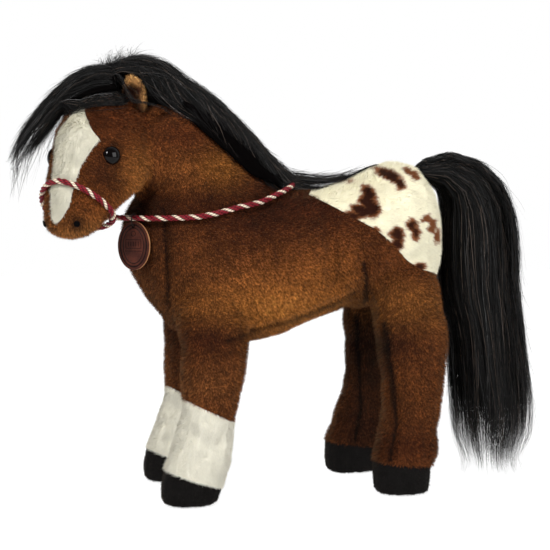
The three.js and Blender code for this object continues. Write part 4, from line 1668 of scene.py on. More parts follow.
def ring_line(node: str, count: int) -> np.ndarray:
    """Measures the centre line of a CAD ring.

    Args:
        node: the ring.
        count: how many places to measure round it.

    Returns:
        The places in order.
    """
    points = places_of(frame["nodes"][node])
    middle = (points.min(0) + points.max(0)) / 2
    first, second, _ = np.linalg.svd(points - middle, full_matrices=False)[2]
    line = []
    for turn in 2 * math.pi * np.arange(count) / count:
        out = math.cos(turn) * first + math.sin(turn) * second
        cut = plane_cut(node, middle, math.cos(turn) * second - math.sin(turn) * first)
        cut = cut[(cut - middle) @ out > 0]
        line.append((cut.min(0) + cut.max(0)) / 2)
    return np.array(line)


def section(node: str, x: float, height: float, lean: float) -> Row:
    """Measures the section of a lock's CAD solid.

    Args:
        node: CAD node of the lock.
        x: place near the section's middle.
        height: height of that place.
        lean: direction of the lock's outer side there, in degrees.

    Returns:
        The section where a plane across the lock cuts the solid.
    """
    out = Row((0, 0, 0), lean, 0, 0).out()
    spot = np.array([x, 0.0, height])
    cut = plane_cut(node, spot, np.array([out[2], 0.0, -out[0]]))
    cut = cut[np.linalg.norm((cut - spot)[:, [0, 2]], axis=1) < 60]
    rise = (cut - spot) @ out
    middle = spot + out * (rise.min() + rise.max()) / 2
    middle[1] = (cut[:, 1].min() + cut[:, 1].max()) / 2
    return Row(tuple(middle), lean, float(np.ptp(rise)) / 2, float(np.ptp(cut[:, 1])) / 2)


@dataclass
class Tufts:
    """Fibres that hold together in small groups, more and more towards their tips.

    Attributes:
        chance: source of all random choices.
        fibres: how many there are.
        group: how many hold together.
        along: 0 at a fibre's root to 1 at its tip.
        hold: how closely they come together at the tip.
    """

    chance: np.random.Generator
    fibres: int
    group: int
    along: np.ndarray
    hold: float = 0.75

    def __post_init__(self) -> None:
        """Gives each fibre its group."""
        self.groups = max(self.fibres // self.group, 1)
        self.owner = self.chance.integers(0, self.groups, self.fibres)

    def each(self, values: np.ndarray) -> np.ndarray:
        """Returns each fibre's value as a column, from one value for each group."""
        return values[self.owner][:, None]

    def run(self, values: np.ndarray, loose: float) -> np.ndarray:
        """A value along each fibre.

        Args:
            values: one for each group.
            loose: how much the roots of a group's fibres differ.

        Returns:
            One row for each fibre.
        """
        off = self.chance.normal(0, loose, (self.fibres, 1))
        return self.each(values) + off * (1 - self.hold * self.along[None, :])


@dataclass
class Lock:
    """A lock of fringe hair along a line of sections.

    Its three kinds, tail, mane and forelock, differ in how their fibres run.

    Attributes:
        name: its name.
        node: CAD node that it stands for.
        body: CAD body that it rides on.
        bends: places along its line as x, height and lean of its outer side.
        fibres: how many it has.
        steps: pieces of a fibre.
        seed: chooses the fibres.
        loose: how many strays stand off it.
        ground: the coat that it lies on.
        before: sections ahead of the CAD solid.
        after: sections beyond it.
        width: of a fibre, drawn as coarse as it needs to show.
        sunk: how far the core lies under the lock's outside.
        press: how much farther it lies on the side that faces this way.
        trim: a place and a direction where the core is cut off.
        room: how far the core stays away from the ears.
        gap: how far the fibres stay over the cloth, and away from the ears.
    """

    name: str
    node: str
    body: str
    bends: tuple[Spot, ...]
    fibres: int
    steps: int
    seed: int
    loose: int
    before: tuple[Row, ...]
    after: tuple[Row, ...]
    sunk: float
    press: Spot
    trim: tuple[Spot, Spot]
    ground: BVHTree | None = None
    width: float = 0.42
    room: float = 5.0
    gap: float = 2.2

    def measure(self) -> None:
        """Measures the sections and lays even tables along the lock."""
        rows = [*self.before, *(section(self.node, *bend) for bend in self.bends), *self.after]
        places = np.array([r.place for r in rows], float)
        length = lengths(places)
        self.length = float(length[-1])
        self.fine = np.linspace(0, 1, 240)
        sizes = np.array([[r.depth, r.breadth] for r in rows], float)
        table = np.column_stack([places, np.array([r.out() for r in rows]), sizes])
        knots = length / length[-1]
        self.table = np.column_stack([soft_interp(self.fine, knots, column) for column in table.T])

    def at(self, along: np.ndarray) -> tuple[np.ndarray, np.ndarray, np.ndarray]:
        """Finds middle, outward direction and half sizes at places along the lock.

        Args:
            along: 0 at the first section to 1 at the last.

        Returns:
            Three arrays with one row each.
        """
        found = np.stack([np.interp(along, self.fine, column) for column in self.table.T], axis=-1)
        return found[..., :3], unit(found[..., 3:6]), found[..., 6:]

    def around(self, along: np.ndarray, angle: np.ndarray) -> Lines:
        """Finds the middle of the lock, and the way from there to its outside.

        Args:
            along: place along the lock.
            angle: 0 at its outer side, and positive towards the toy's right.

        Returns:
            The middle and the way for each place.
        """
        middle, out, sizes = self.at(along)
        way = out * (np.cos(angle) * sizes[..., 0])[..., None]
        way[..., 1] += np.sin(angle) * sizes[..., 1]
        return middle, way

    def paths(self, chance: np.random.Generator, along: np.ndarray) -> Lines:
        """Draws the lines of the fibres; each kind of lock has its own.

        Args:
            chance: source of all random choices.
            along: 0 at a fibre's root to 1 at its tip.

        Returns:
            Points of each fibre and the direction in which each point faces.
        """
        raise NotImplementedError

    def waves(self, chance: np.random.Generator, along: np.ndarray, size: float, count: int) -> np.ndarray:
        """Returns the small random waves of some fibres, growing towards their tips."""
        turn = along[None, :, None] * chance.uniform(3, 9, (count, 1, 1))
        turn = turn + chance.uniform(0, 6.3, (count, 1, 3))
        return size * chance.uniform(0.3, 1.6, (count, 1, 1)) * along[None, :, None] * np.sin(turn)

    def stray_paths(self, chance: np.random.Generator, along: np.ndarray) -> Lines:
        """Draws the lines of single fibres that stand off the lock.

        Args:
            chance: source of all random choices.
            along: 0 at a fibre's root to 1 at its tip.

        Returns:
            Points of each fibre and the direction in which each point faces.
        """
        count = self.loose
        start = chance.uniform(0.0, 0.86, (count, 1))
        place = np.clip(start + chance.uniform(16, 40, (count, 1)) / self.length * along, 0, 1)
        middle, way = self.around(place, chance.uniform(-1.6, 1.6, (count, 1)) + 0 * along)
        lift = chance.uniform(0.5, 4.5, (count, 1)) * along**1.5
        lines = middle + way * 0.96 + unit(way) * lift[..., None]
        return lines + self.waves(chance, along, 1.0, count), way

    def build(self) -> None:
        """Makes the fibres, the strays and the core, and sets them on their body."""
        chance = np.random.default_rng(self.seed)
        self.measure()
        along = np.linspace(0, 1, self.steps + 1)
        pieces = []
        kinds = (("fibres", self.paths, self.width), ("strays", self.stray_paths, self.width * 0.9))
        for kind, paths, width in kinds:
            lines, facing = paths(chance, along)
            tones = hair_shades(chance, along, len(lines))
            pieces.append(ribbons(f"{self.name}_{kind}", lines, facing, width, tones, chance))
            HAIR.put_on(pieces[-1])
        core = self.core()
        HAIR_ROOTS.put_on(core)
        settle(core, self.body, "hair_black", self.node)
        for piece in pieces:
            settle(piece, self.body, "hair_black")
        log.info("%s: %d fibres, %d triangles", self.name, self.fibres, len(pieces[0].data.polygons))

    def core(self) -> bpy.types.Object:
        """Makes the dark inside of the lock from its CAD solid, dented where an ear stands.

        Returns:
            The core.
        """
        core = rounded_copy(self.node, f"{self.name}_core", 2.4, 8)
        points, normals = places_of(core), normals_of(core)
        deep = self.sunk + np.maximum(normals @ np.array(self.press), 0)
        if self.ground:
            deep *= 1 - 0.8 * np.clip(-1.5 * normals[:, 2], 0, 1) * fade(points[:, 0], -172, -156)
        points -= normals * deep[:, None] + self.settled(points)
        boxes = [(places_of(ear).min(0), places_of(ear).max(0)) for ear in ear_coats()]
        middles = [(low + high) / 2 for low, high in boxes]
        for (low, high), middle, other in zip(boxes, middles, reversed(middles)):
            half = (high - low) / 2 + self.room
            inward = unit((other - middle) / half)
            place = (points - middle) / half
            toward, spare = place @ inward, 1 - (place**2).sum(axis=1)
            step = np.sqrt(toward**2 + np.maximum(spare, 0)) - toward
            points += (spare > 0)[:, None] * step[:, None] * inward * half
        move_to(core, points)
        spot, way = self.trim
        with editing(core):
            bpy.ops.mesh.bisect(plane_co=Vector(spot) * MM, plane_no=way, use_fill=True, clear_outer=True)
        move_to(core, relaxed(places_of(core), edges_of(core), 6))
        set_tone(core, np.tile(shade("#040303"), (len(core.data.vertices), 1)))
        return core

    def settled(self, points: np.ndarray) -> np.ndarray:
        """Returns how far the lock has settled into the pile under it at each point."""
        return np.zeros_like(points)

    def lie(self, lines: np.ndarray) -> np.ndarray:
        """Lifts hair out of the coat under it.

        Args:
            lines: points of each fibre.

        Returns:
            The new points.
        """
        flat = lines.reshape(-1, 3).copy()
        for k, point in enumerate(flat):
            spot, normal, _, _ = self.ground.find_nearest(Vector(point * MM))
            low = self.gap - (Vector(point * MM) - spot).dot(normal) / MM
            if low > 0:
                flat[k] += np.array(normal) * low
        return flat.reshape(lines.shape)

    def clear_of_ears(self, lines: np.ndarray) -> np.ndarray:
        """Tells which fibres stay out of the cloth of the ears and off the coat round their roots.

        Args:
            lines: points of each fibre.

        Returns:
            True for each fibre that is clear.
        """
        free = np.ones(len(lines), bool)
        for ear in ear_coats():
            low, high = places_of(ear).min(0), places_of(ear).max(0)
            tree = surface_tree(ear.data)
            root = np.array([(low[0] + high[0]) / 2, (low[1] + high[1]) / 2, low[2] - 3])
            free &= ~(np.linalg.norm(lines - root, axis=2) < 13).any(axis=1)
            close = ((lines > low - self.gap) & (lines < high + self.gap)).all(axis=2)
            for k in np.flatnonzero(close.any(axis=1)):
                for point in lines[k][close[k]] * MM:
                    spot, normal, _, apart = tree.find_nearest(Vector(point))
                    if apart < self.gap * MM or (Vector(point) - spot).dot(normal) < 0:
                        free[k] = False
                        break
        return free


def ear_coats() -> list[bpy.types.Object]:
    """Returns the cloth of both ears."""
    return [bpy.data.objects[f"{side.named('ear')}_coat"] for side in Side]


def hair_shades(chance: np.random.Generator, along: np.ndarray, count: int) -> np.ndarray:
    """Colours some fibres along their length.

    Args:
        chance: source of all random choices.
        along: 0 at a fibre's root to 1 at its tip.
        count: how many fibres.

    Returns:
        Linear colours for each point of each fibre.
    """
    draw = chance.random(count)[:, None]
    dark, warm, pale = shade("#030303"), shade("#100e0d"), shade("#4a4039")
    colour = np.where(draw < 0.6, dark, np.where(draw < 0.95, warm, pale))
    fall = 0.7 + 0.6 * along[None, :, None]
    return colour[:, None, :] * fall * chance.uniform(0.5, 1.5, (count, 1, 1))


def soft_interp(at: np.ndarray, knots: np.ndarray, values: np.ndarray) -> np.ndarray:
    """Interpolates between knots and rounds the corners by a short running mean.

    Args:
        at: where values are wanted, at even steps.
        knots: where values are known.
        values: the values there.

    Returns:
        A value for each place.
    """
    line = np.interp(at, knots, values)
    kernel = np.hanning(17)
    kernel /= kernel.sum()
    padded = np.r_[2 * line[0] - line[8:0:-1], line, 2 * line[-1] - line[-2:-10:-1]]
    return np.convolve(padded, kernel, mode="valid")


def ribbons(
    name: str,
    lines: np.ndarray,
    facing: np.ndarray,
    width: float,
    tones: np.ndarray,
    chance: np.random.Generator,
) -> bpy.types.Object:
    """Makes hair fibres as slim ribbons that end in a point.

    Args:
        name: name of the piece.
        lines: points of each fibre.
        facing: direction in which each point faces.
        width: of a fibre at its root.
        tones: colour of each point.
        chance: source of all random choices.

    Returns:
        All fibres as one mesh.
    """
    count, steps, _ = lines.shape
    along, facing = unit(np.gradient(lines, axis=1)), unit(facing)
    across = unit(np.cross(along, facing) + 0.5 * chance.normal(size=(count, 1, 3)))
    taper = np.linspace(1, 0, steps) ** 0.45
    half = width * chance.uniform(0.6, 1.2, (count, 1, 1)) * taper[None, :, None] / 2
    lit = unit(facing + 0.35 * chance.normal(size=(count, 1, 3)))

    def rows(left: np.ndarray, right: np.ndarray, end: np.ndarray) -> np.ndarray:
        """Both edges of each ribbon, and its tip."""
        return np.concatenate([left[:, :-1], right[:, :-1], end[:, -1:]], axis=1).reshape(-1, 3)

    k = np.arange(steps - 2)
    low = np.column_stack([k, k + steps - 1, k + steps])
    high = np.column_stack([k, k + steps, k + 1])
    one = np.vstack([low, high, [[steps - 2, 2 * steps - 3, 2 * steps - 2]]])
    faces = one[None] + (2 * steps - 1) * np.arange(count)[:, None, None]
    piece = piece_from(name, rows(lines - across * half, lines + across * half, lines), faces.reshape(-1, 3))
    set_tone(piece, rows(tones, tones, tones))
    set_normals(piece, rows(lit, lit, lit))
    return piece


@dataclass
class Tail(Lock):
    """The tail: it leaves the dock upwards, arches back and hangs to wispy ends."""

    def around(self, along: np.ndarray, angle: np.ndarray) -> Lines:
        """Draws the tail in behind the legs.

        Args:
            along: place along the lock.
            angle: 0 at its outer side, and positive towards the toy's right.

        Returns:
            The middle of the lock and the way from there to its outside.
        """
        middle, way = super().around(along, angle)
        way = way * (1 - 0.1 * fade(along, 0.3, 0.6) * fade(along, 0.95, 0.8))[..., None]
        inner = np.clip(-way[..., 0] / 20, 0, 1) * fade(along, 0.12, 0.25) * fade(along, 0.6, 0.45)
        outer = np.clip(way[..., 0] / 20, 0, 1) * fade(along, 0.3, 0.45)
        middle[..., 0] -= 4.0 * inner + 1.2 * outer + 2.4 * fade(along, 0.2, 0.34) * fade(along, 0.6, 0.45)
        return middle, way

    def paths(self, chance: np.random.Generator, along: np.ndarray) -> Lines:
        """Draws fibres that fill the sections, most near the outside, and part into wisps below.

        Args:
            chance: source of all random choices.
            along: 0 at a fibre's root to 1 at its tip.

        Returns:
            Points of each fibre and the direction in which each point faces.
        """
        tufts = Tufts(chance, self.fibres, 16, along, hold=0.86)
        angle = tufts.run(chance.uniform(0, 2 * math.pi, tufts.groups), 0.22)
        drift = tufts.each(chance.normal(0, 0.2, tufts.groups)) * along**1.5
        radius = tufts.run(1.0 - 0.4 * chance.random(tufts.groups) ** 2, 0.05)
        flare = 1 + tufts.each(chance.normal(-0.03, 0.08, tufts.groups)) * along**2
        end = tufts.each(1.0 - 0.25 * chance.random(tufts.groups)) + chance.normal(0, 0.02, (self.fibres, 1))
        start = 0.03 * chance.random((self.fibres, 1))
        place = np.clip(start + (end - start) * along, 0, 1)
        middle, way = self.around(place, angle + drift)
        lines = middle + way * (radius * flare)[..., None] + self.waves(chance, along, 1.6, self.fibres)
        lines[..., 2] = np.maximum(lines[..., 2], 1.0)
        return lines, way

    def stray_paths(self, chance: np.random.Generator, along: np.ndarray) -> Lines:
        """Draws long single fibres, most of them over the arch and down the back.

        Args:
            chance: source of all random choices.
            along: 0 at a fibre's root to 1 at its tip.

        Returns:
            Points of each fibre and the direction in which each point faces.
        """
        count = self.loose
        start = chance.uniform(0.02, 0.75, (count, 1))
        run = start + chance.uniform(35, 110, (count, 1)) / self.length * along
        place = np.clip(run, 0, 1)
        angle = chance.normal(0, 1.3, (count, 1)) + chance.normal(0, 0.15, (count, 1)) * along
        middle, way = self.around(place, angle)
        lift = np.abs(chance.normal(0, 5.0, (count, 1))) * along**1.3
        lines = middle + way * 0.98 + unit(way) * lift[..., None] + self.waves(chance, along, 2.2, count)
        lines[..., 2] -= 0.45 * self.length * (run - place)
        lines[..., 2] = np.maximum(lines[..., 2], 1.0)
        return lines, way


@dataclass
class Mane(Lock):
    """The mane: it grows along the crest and is brushed back and down on both sides.

    Attributes:
        hang: how far its ends hang down the neck at most.
    """

    hang: float = 24.0

    def around(self, along: np.ndarray, angle: np.ndarray) -> Lines:
        """Makes the mane fuller over the poll and flatter behind it.

        Args:
            along: place along the lock.
            angle: 0 at its outer side, and positive towards the toy's right.

        Returns:
            The middle of the lock and the way from there to its outside.
        """
        middle, way = super().around(along, angle)
        crest = 0.2 * np.exp(-(((along - 0.14) / 0.055) ** 2)) - 0.17 * fade(along, 0.2, 0.27)
        crest -= 0.04 * fade(along, 0.36, 0.46)
        return middle, way * (1 + crest)[..., None]

    def paths(self, chance: np.random.Generator, along: np.ndarray) -> Lines:
        """Draws fibres that start at the crest and slide down one side as they run back.

        Args:
            chance: source of all random choices.
            along: 0 at a fibre's root to 1 at its tip.

        Returns:
            Points of each fibre and the direction in which each point faces.
        """
        tufts = Tufts(chance, self.fibres, 9, along)
        column = (self.fibres, 1)
        start = tufts.run(chance.uniform(-0.01, 0.93, tufts.groups), 0.02)
        back = fade(start[:, :1], 0.5, 0.66)
        length = chance.uniform(0.12, 0.3, column) * (1 - 0.25 * back)
        place = np.clip(start + length * along, 0, 1)
        first = tufts.run(chance.normal(0, 0.42, tufts.groups), 0.2)
        first = first * (1 + 0.6 * fade(start[:, :1], 0.16, 0.08))
        side = np.where(first[:, :1] > 0, 1.0, -1.0)
        reach = tufts.each(chance.uniform(0.1, 2.3, tufts.groups))
        angle = first + side * reach * (1 - 0.5 * back) * along**0.8
        turned = np.clip(angle, -1.4, 1.4)
        fall = (2.8 - 1.8 * fade(place, 0.14, 0.38)) * fade(place, 0.03, 0.12)
        past = (np.abs(angle) - np.abs(turned)) * fall
        radius = 0.82 + 0.18 * along**0.6 + chance.normal(0, 0.04, column)
        middle, way = self.around(place, turned)
        _, out, sizes = self.at(place)
        down = 0.5 * (out + np.array([0, 0, 1]))
        slide = self.hang * np.tanh(past * sizes[..., 0] / self.hang)
        lines = middle + way * radius[..., None] - slide[..., None] * down
        lift = np.clip(chance.normal(-0.5, 0.8, column), 0, 2) * along**2
        lines = lines + unit(way) * lift[..., None] + self.waves(chance, along, 1.3, self.fibres)
        lines = lines - self.settled(lines.reshape(-1, 3)).reshape(lines.shape)
        thin = fade(lines[:, -1, 0], 12, 56)
        lines[..., 1] += chance.normal(0, 4.5, column) * thin[:, None] * along**2
        lines = self.lie(lines)
        free = self.clear_of_ears(lines) & (chance.random(self.fibres) > 0.86 * thin)
        return lines[free], way[free]

    def stray_paths(self, chance: np.random.Generator, along: np.ndarray) -> Lines:
        """Draws the usual strays and a fan of them that stands up where the hair parts at the poll.

        Args:
            chance: source of all random choices.
            along: 0 at a fibre's root to 1 at its tip.

        Returns:
            Points of each fibre and the direction in which each point faces.
        """
        lines, way = super().stray_paths(chance, along)
        count = self.loose // 2
        place = chance.uniform(0.0, 0.1, (count, 1)) + 0 * along
        middle, root = self.around(place, chance.normal(0, 0.5, (count, 1)) + 0 * along)
        back = np.array([1.0, 0.1, 0.0])
        apart = chance.normal(0.35, 0.8, (count, 1, 1)) * back + chance.normal(0, 0.25, (count, 1, 3))
        reach = chance.uniform(6, 20, (count, 1, 1)) * along[None, :, None]
        fan = unit(unit(root) + apart) * reach
        poll = middle + root * 0.93 + fan + np.array([0.25, 0, -0.3]) * reach * along[None, :, None]
        return np.vstack([lines, poll + self.waves(chance, along, 0.8, count)]), np.vstack([way, root])

    def core(self) -> bpy.types.Object:
        """Makes the core, and lowers its front onto the neck.

        Returns:
            The core.
        """
        core = super().core()
        points = places_of(core)
        points[:, 2] -= 3.2 * fade(-points[:, 0], 60, 85)
        move_to(core, points)
        return core

    def settled(self, points: np.ndarray) -> np.ndarray:
        """Returns how far the thin end on the back has settled into the pile."""
        down = np.zeros_like(points)
        down[:, 2] = 2.8 * fade(points[:, 0], -32, -8)
        return down


@dataclass
class Forelock(Lock):
    """The forelock: it springs from the poll, arches over the brow and ends in thin wisps."""

    def around(self, along: np.ndarray, angle: np.ndarray) -> Lines:
        """Makes the forelock flatter on top and under the tip.

        Args:
            along: place along the lock.
            angle: 0 at its outer side, and positive towards the toy's right.

        Returns:
            The middle of the lock and the way from there to its outside.
        """
        middle, way = super().around(along, angle)
        under = np.clip(-np.cos(angle), 0, 1) * fade(along, 0.42, 0.6) * fade(along, 0.9, 0.7)
        over = np.clip(np.cos(angle), 0, 1) * fade(along, 0.2, 0.55)
        flat = 1 - 0.3 * under - 0.36 * over - 0.07 * fade(along, 0.1, 0.25) * fade(along, 0.85, 0.6)
        return middle, way * flat[..., None]

    def paths(self, chance: np.random.Generator, along: np.ndarray) -> Lines:
        """Draws fibres that fill the sections, leave them in tufts and hang lower near the cheeks.

        Args:
            chance: source of all random choices.
            along: 0 at a fibre's root to 1 at its tip.

        Returns:
            Points of each fibre and the direction in which each point faces.
        """
        tufts = Tufts(chance, self.fibres, 14, along, hold=0.85)
        column = (self.fibres, 1)
        angle = tufts.run(chance.uniform(-math.pi, math.pi, tufts.groups), 0.22)
        radius = tufts.run(0.92 - 0.4 * chance.random(tufts.groups) ** 2, 0.05)
        end = tufts.each(0.98 - 0.6 * chance.random(tufts.groups)) + chance.normal(0, 0.02, column)
        start = 0.15 * chance.random(column)
        place = np.clip(start + (end - start) * along, 0, 1)
        middle, way = self.around(place, angle)
        splay = np.clip(chance.normal(-1.0, 2.6, column), 0, 6) * along**3
        splay = splay * (1 - 0.8 * np.clip(np.cos(angle), 0, 1))
        lines = middle + way * radius[..., None] + unit(way) * splay[..., None]
        low = np.clip(1.1 * np.abs(np.sin(angle)) - 0.5 * np.cos(angle), 0, 1)
        share = tufts.each(chance.random(tufts.groups)) ** 1.4
        drop = share * low * (18 + 16 * fade(place, 0.12, 0.3) - 34 * fade(place, 0.47, 0.62))
        lines[..., 2] -= drop + tufts.each(chance.uniform(0, 3, tufts.groups)) * along**3
        lines = self.lie(lines + self.waves(chance, along, 1.0, self.fibres))
        free = self.clear_of_ears(lines)
        return lines[free], way[free]

    def stray_paths(self, chance: np.random.Generator, along: np.ndarray) -> Lines:
        """Draws the usual strays, long thin ones that hang from the tip, and a few at the poll.

        Args:
            chance: source of all random choices.
            along: 0 at a fibre's root to 1 at its tip.

        Returns:
            Points of each fibre and the direction in which each point faces.
        """
        lines, way = super().stray_paths(chance, along)
        count = self.loose // 3
        column = (count, 1)
        place = np.clip(chance.uniform(0.5, 0.9, column) + chance.uniform(0.1, 0.25, column) * along, 0, 1)
        middle, tip = self.around(place, chance.uniform(-3, 3, column) + 0 * along)
        hang = middle + tip * 0.9 + self.waves(chance, along, 2.4, count)
        hang[..., 2] -= chance.uniform(4, 30, column) * along**1.7
        place = chance.uniform(0.05, 0.3, column) + 0 * along
        middle, root = self.around(place, chance.normal(0, 0.5, column) + 0 * along)
        fan = unit(unit(root) + chance.normal(0.6, 0.5, (count, 1, 1)) * np.array([-1.0, -0.1, 0.0]))
        reach = chance.uniform(4, 13, (count, 1, 1)) * along[None, :, None]
        poll = middle + root * 0.93 + fan * reach - np.array([0, 0, 0.35]) * reach * along[None, :, None]
        return np.vstack([lines, hang, poll]), np.vstack([way, tip, root])


MANE_BENDS = (
    *((-139, 325, 0), (-125, 325, 7), (-104, 320, 17), (-83, 308, 27), (-70, 296, 37), (-55, 283, 41)),
    *((-41, 270, 41), (-29, 259, 39), (-18, 251, 35), (-8, 245, 22), (2, 243, 4), (12, 243, -1)),
    *((23, 244, -8), (36, 246, -16), (50, 250, -23), (61, 255, -26)),
)
FORELOCK_BENDS = (
    *((-131, 319, 17), (-143, 322, 2), (-156, 320, -18), (-169, 314, -31), (-182, 304, -39)),
    *((-194, 294, -46), (-205, 281, -53), (-213, 268, -61), (-217, 259, -66)),
)
TAIL_BENDS = (
    *((121, 260, -2), (127, 261, 6), (138, 258, 22), (151, 251, 43), (162, 236, 64), (169, 214, 80)),
    *((171, 183, 86), (174, 142, 86), (177, 102, 85), (180, 61, 87), (180, 33, 91), (180, 15, 92)),
)


# Halter: twisted rope, its tag and the thread that holds the tag


def carried(path: np.ndarray, closed: bool) -> tuple[np.ndarray, np.ndarray, np.ndarray]:
    """Carries a direction along a path without twist.

    Args:
        path: points in order.
        closed: whether its ends meet.

    Returns:
        Three directions at each point: along the path and twice across it.
    """
    along = unit(np.roll(path, -1, 0) - np.roll(path, 1, 0) if closed else np.gradient(path, axis=0))
    across = np.zeros_like(path)
    across[0] = unit(np.cross(along[0], [0.3, 0.2, 1.0]))
    for k in range(1, len(path)):
        across[k] = unit(across[k - 1] - (across[k - 1] @ along[k]) * along[k])
    return along, across, np.cross(along, across)


def tube(
    path: np.ndarray, radius: float, sides: int, closed: bool
) -> tuple[np.ndarray, np.ndarray, np.ndarray]:
    """Points and faces of a round tube along a path.

    Args:
        path: its centre line.
        radius: of the tube.
        sides: how many points go round it.
        closed: whether its ends meet.

    Returns:
        Points, faces, and for each point its length and girth in millimetres.
    """
    _, across, over = carried(path, closed)
    turn = 2 * math.pi * np.arange(sides) / sides
    ring = np.cos(turn)[None, :, None] * across[:, None] + np.sin(turn)[None, :, None] * over[:, None]
    points = (path[:, None] + radius * ring).reshape(-1, 3)
    row = np.arange(len(path) if closed else len(path) - 1)[:, None]
    here, beside = np.arange(sides), (np.arange(sides) + 1) % sides
    start, end = row * sides, (row + 1) % len(path) * sides
    faces = np.stack([start + here, start + beside, end + beside, end + here], axis=-1).reshape(-1, 4)
    lay = np.stack(np.broadcast_arrays(lengths(path)[:, None], (turn * radius)[None, :]), axis=-1)
    return points, faces, lay.reshape(-1, 2)


@dataclass
class Rope:
    """Rope of three yarns twisted round each other.

    Attributes:
        name: of the piece.
        path: its centre line, already smooth.
        diameter: of the rope.
        pitch: length of one whole twist.
        yarns: finishes of the yarns.
        closed: whether its ends meet.
        sides: how many points go round a yarn.
    """

    name: str
    path: np.ndarray
    diameter: float
    pitch: float
    yarns: tuple[Finish, ...]
    closed: bool = False
    sides: int = 12

    def build(self) -> bpy.types.Object:
        """Makes the yarns as one mesh with a material for each.

        Returns:
            The rope.
        """
        path, count = self.path, len(self.yarns)
        along, across, over = carried(path, self.closed)
        length = lengths(path)
        total = length[-1] + (np.linalg.norm(path[0] - path[-1]) if self.closed else 0)
        turns = round(total / self.pitch) if self.closed else total / self.pitch
        thin = self.diameter / 2 / (1 + 1 / math.sin(math.pi / count)) * 1.06
        swing = self.diameter / 2 - thin
        slip = 0.0
        if self.closed:
            end = unit(across[-1] - (across[-1] @ along[0]) * along[0])
            slip = -math.atan2(np.cross(across[0], end) @ along[0], across[0] @ end)
        tubes = []
        for number in range(count):
            turn = 2 * math.pi * (turns * length / total + number / count) + slip * length / total
            line = path + swing * (np.cos(turn)[:, None] * across + np.sin(turn)[:, None] * over)
            tubes.append(tube(line, thin, self.sides, self.closed))
        points, faces, lay = (np.array(part) for part in zip(*tubes))
        faces += np.arange(count)[:, None, None] * points.shape[1]
        rope = piece_from(self.name, points.reshape(-1, 3), faces.reshape(-1, 4))
        names = list(dict.fromkeys(finish.material().name for finish in self.yarns))
        for name in names:
            rope.data.materials.append(bpy.data.materials[name])
        chosen = [names.index(finish.name) for finish in self.yarns]
        owner = np.repeat(np.array(chosen, np.int32), faces.shape[1])
        rope.data.polygons.foreach_set("material_index", owner)
        # Painted shade: the yarns' Tone darkens where they lie deep in the rope, between the yarns.
        middle = np.tile(np.repeat(path, self.sides, axis=0), (count, 1))
        far = np.linalg.norm(places_of(rope) - middle, axis=1)
        set_tone(rope, np.tile(0.1 + 0.9 * fade(far, swing, 0.97 * self.diameter / 2)[:, None], 3))
        corners = read(rope.data.loops, "vertex_index", 1, np.int32)[:, 0]
        layer = rope.data.uv_layers.new(name="Lay")
        layer.data.foreach_set("uv", lay.reshape(-1, 2)[corners].astype(np.float32).ravel())
        if not self.closed:
            with editing(rope):
                bpy.ops.mesh.fill_holes(sides=0)
        return rope


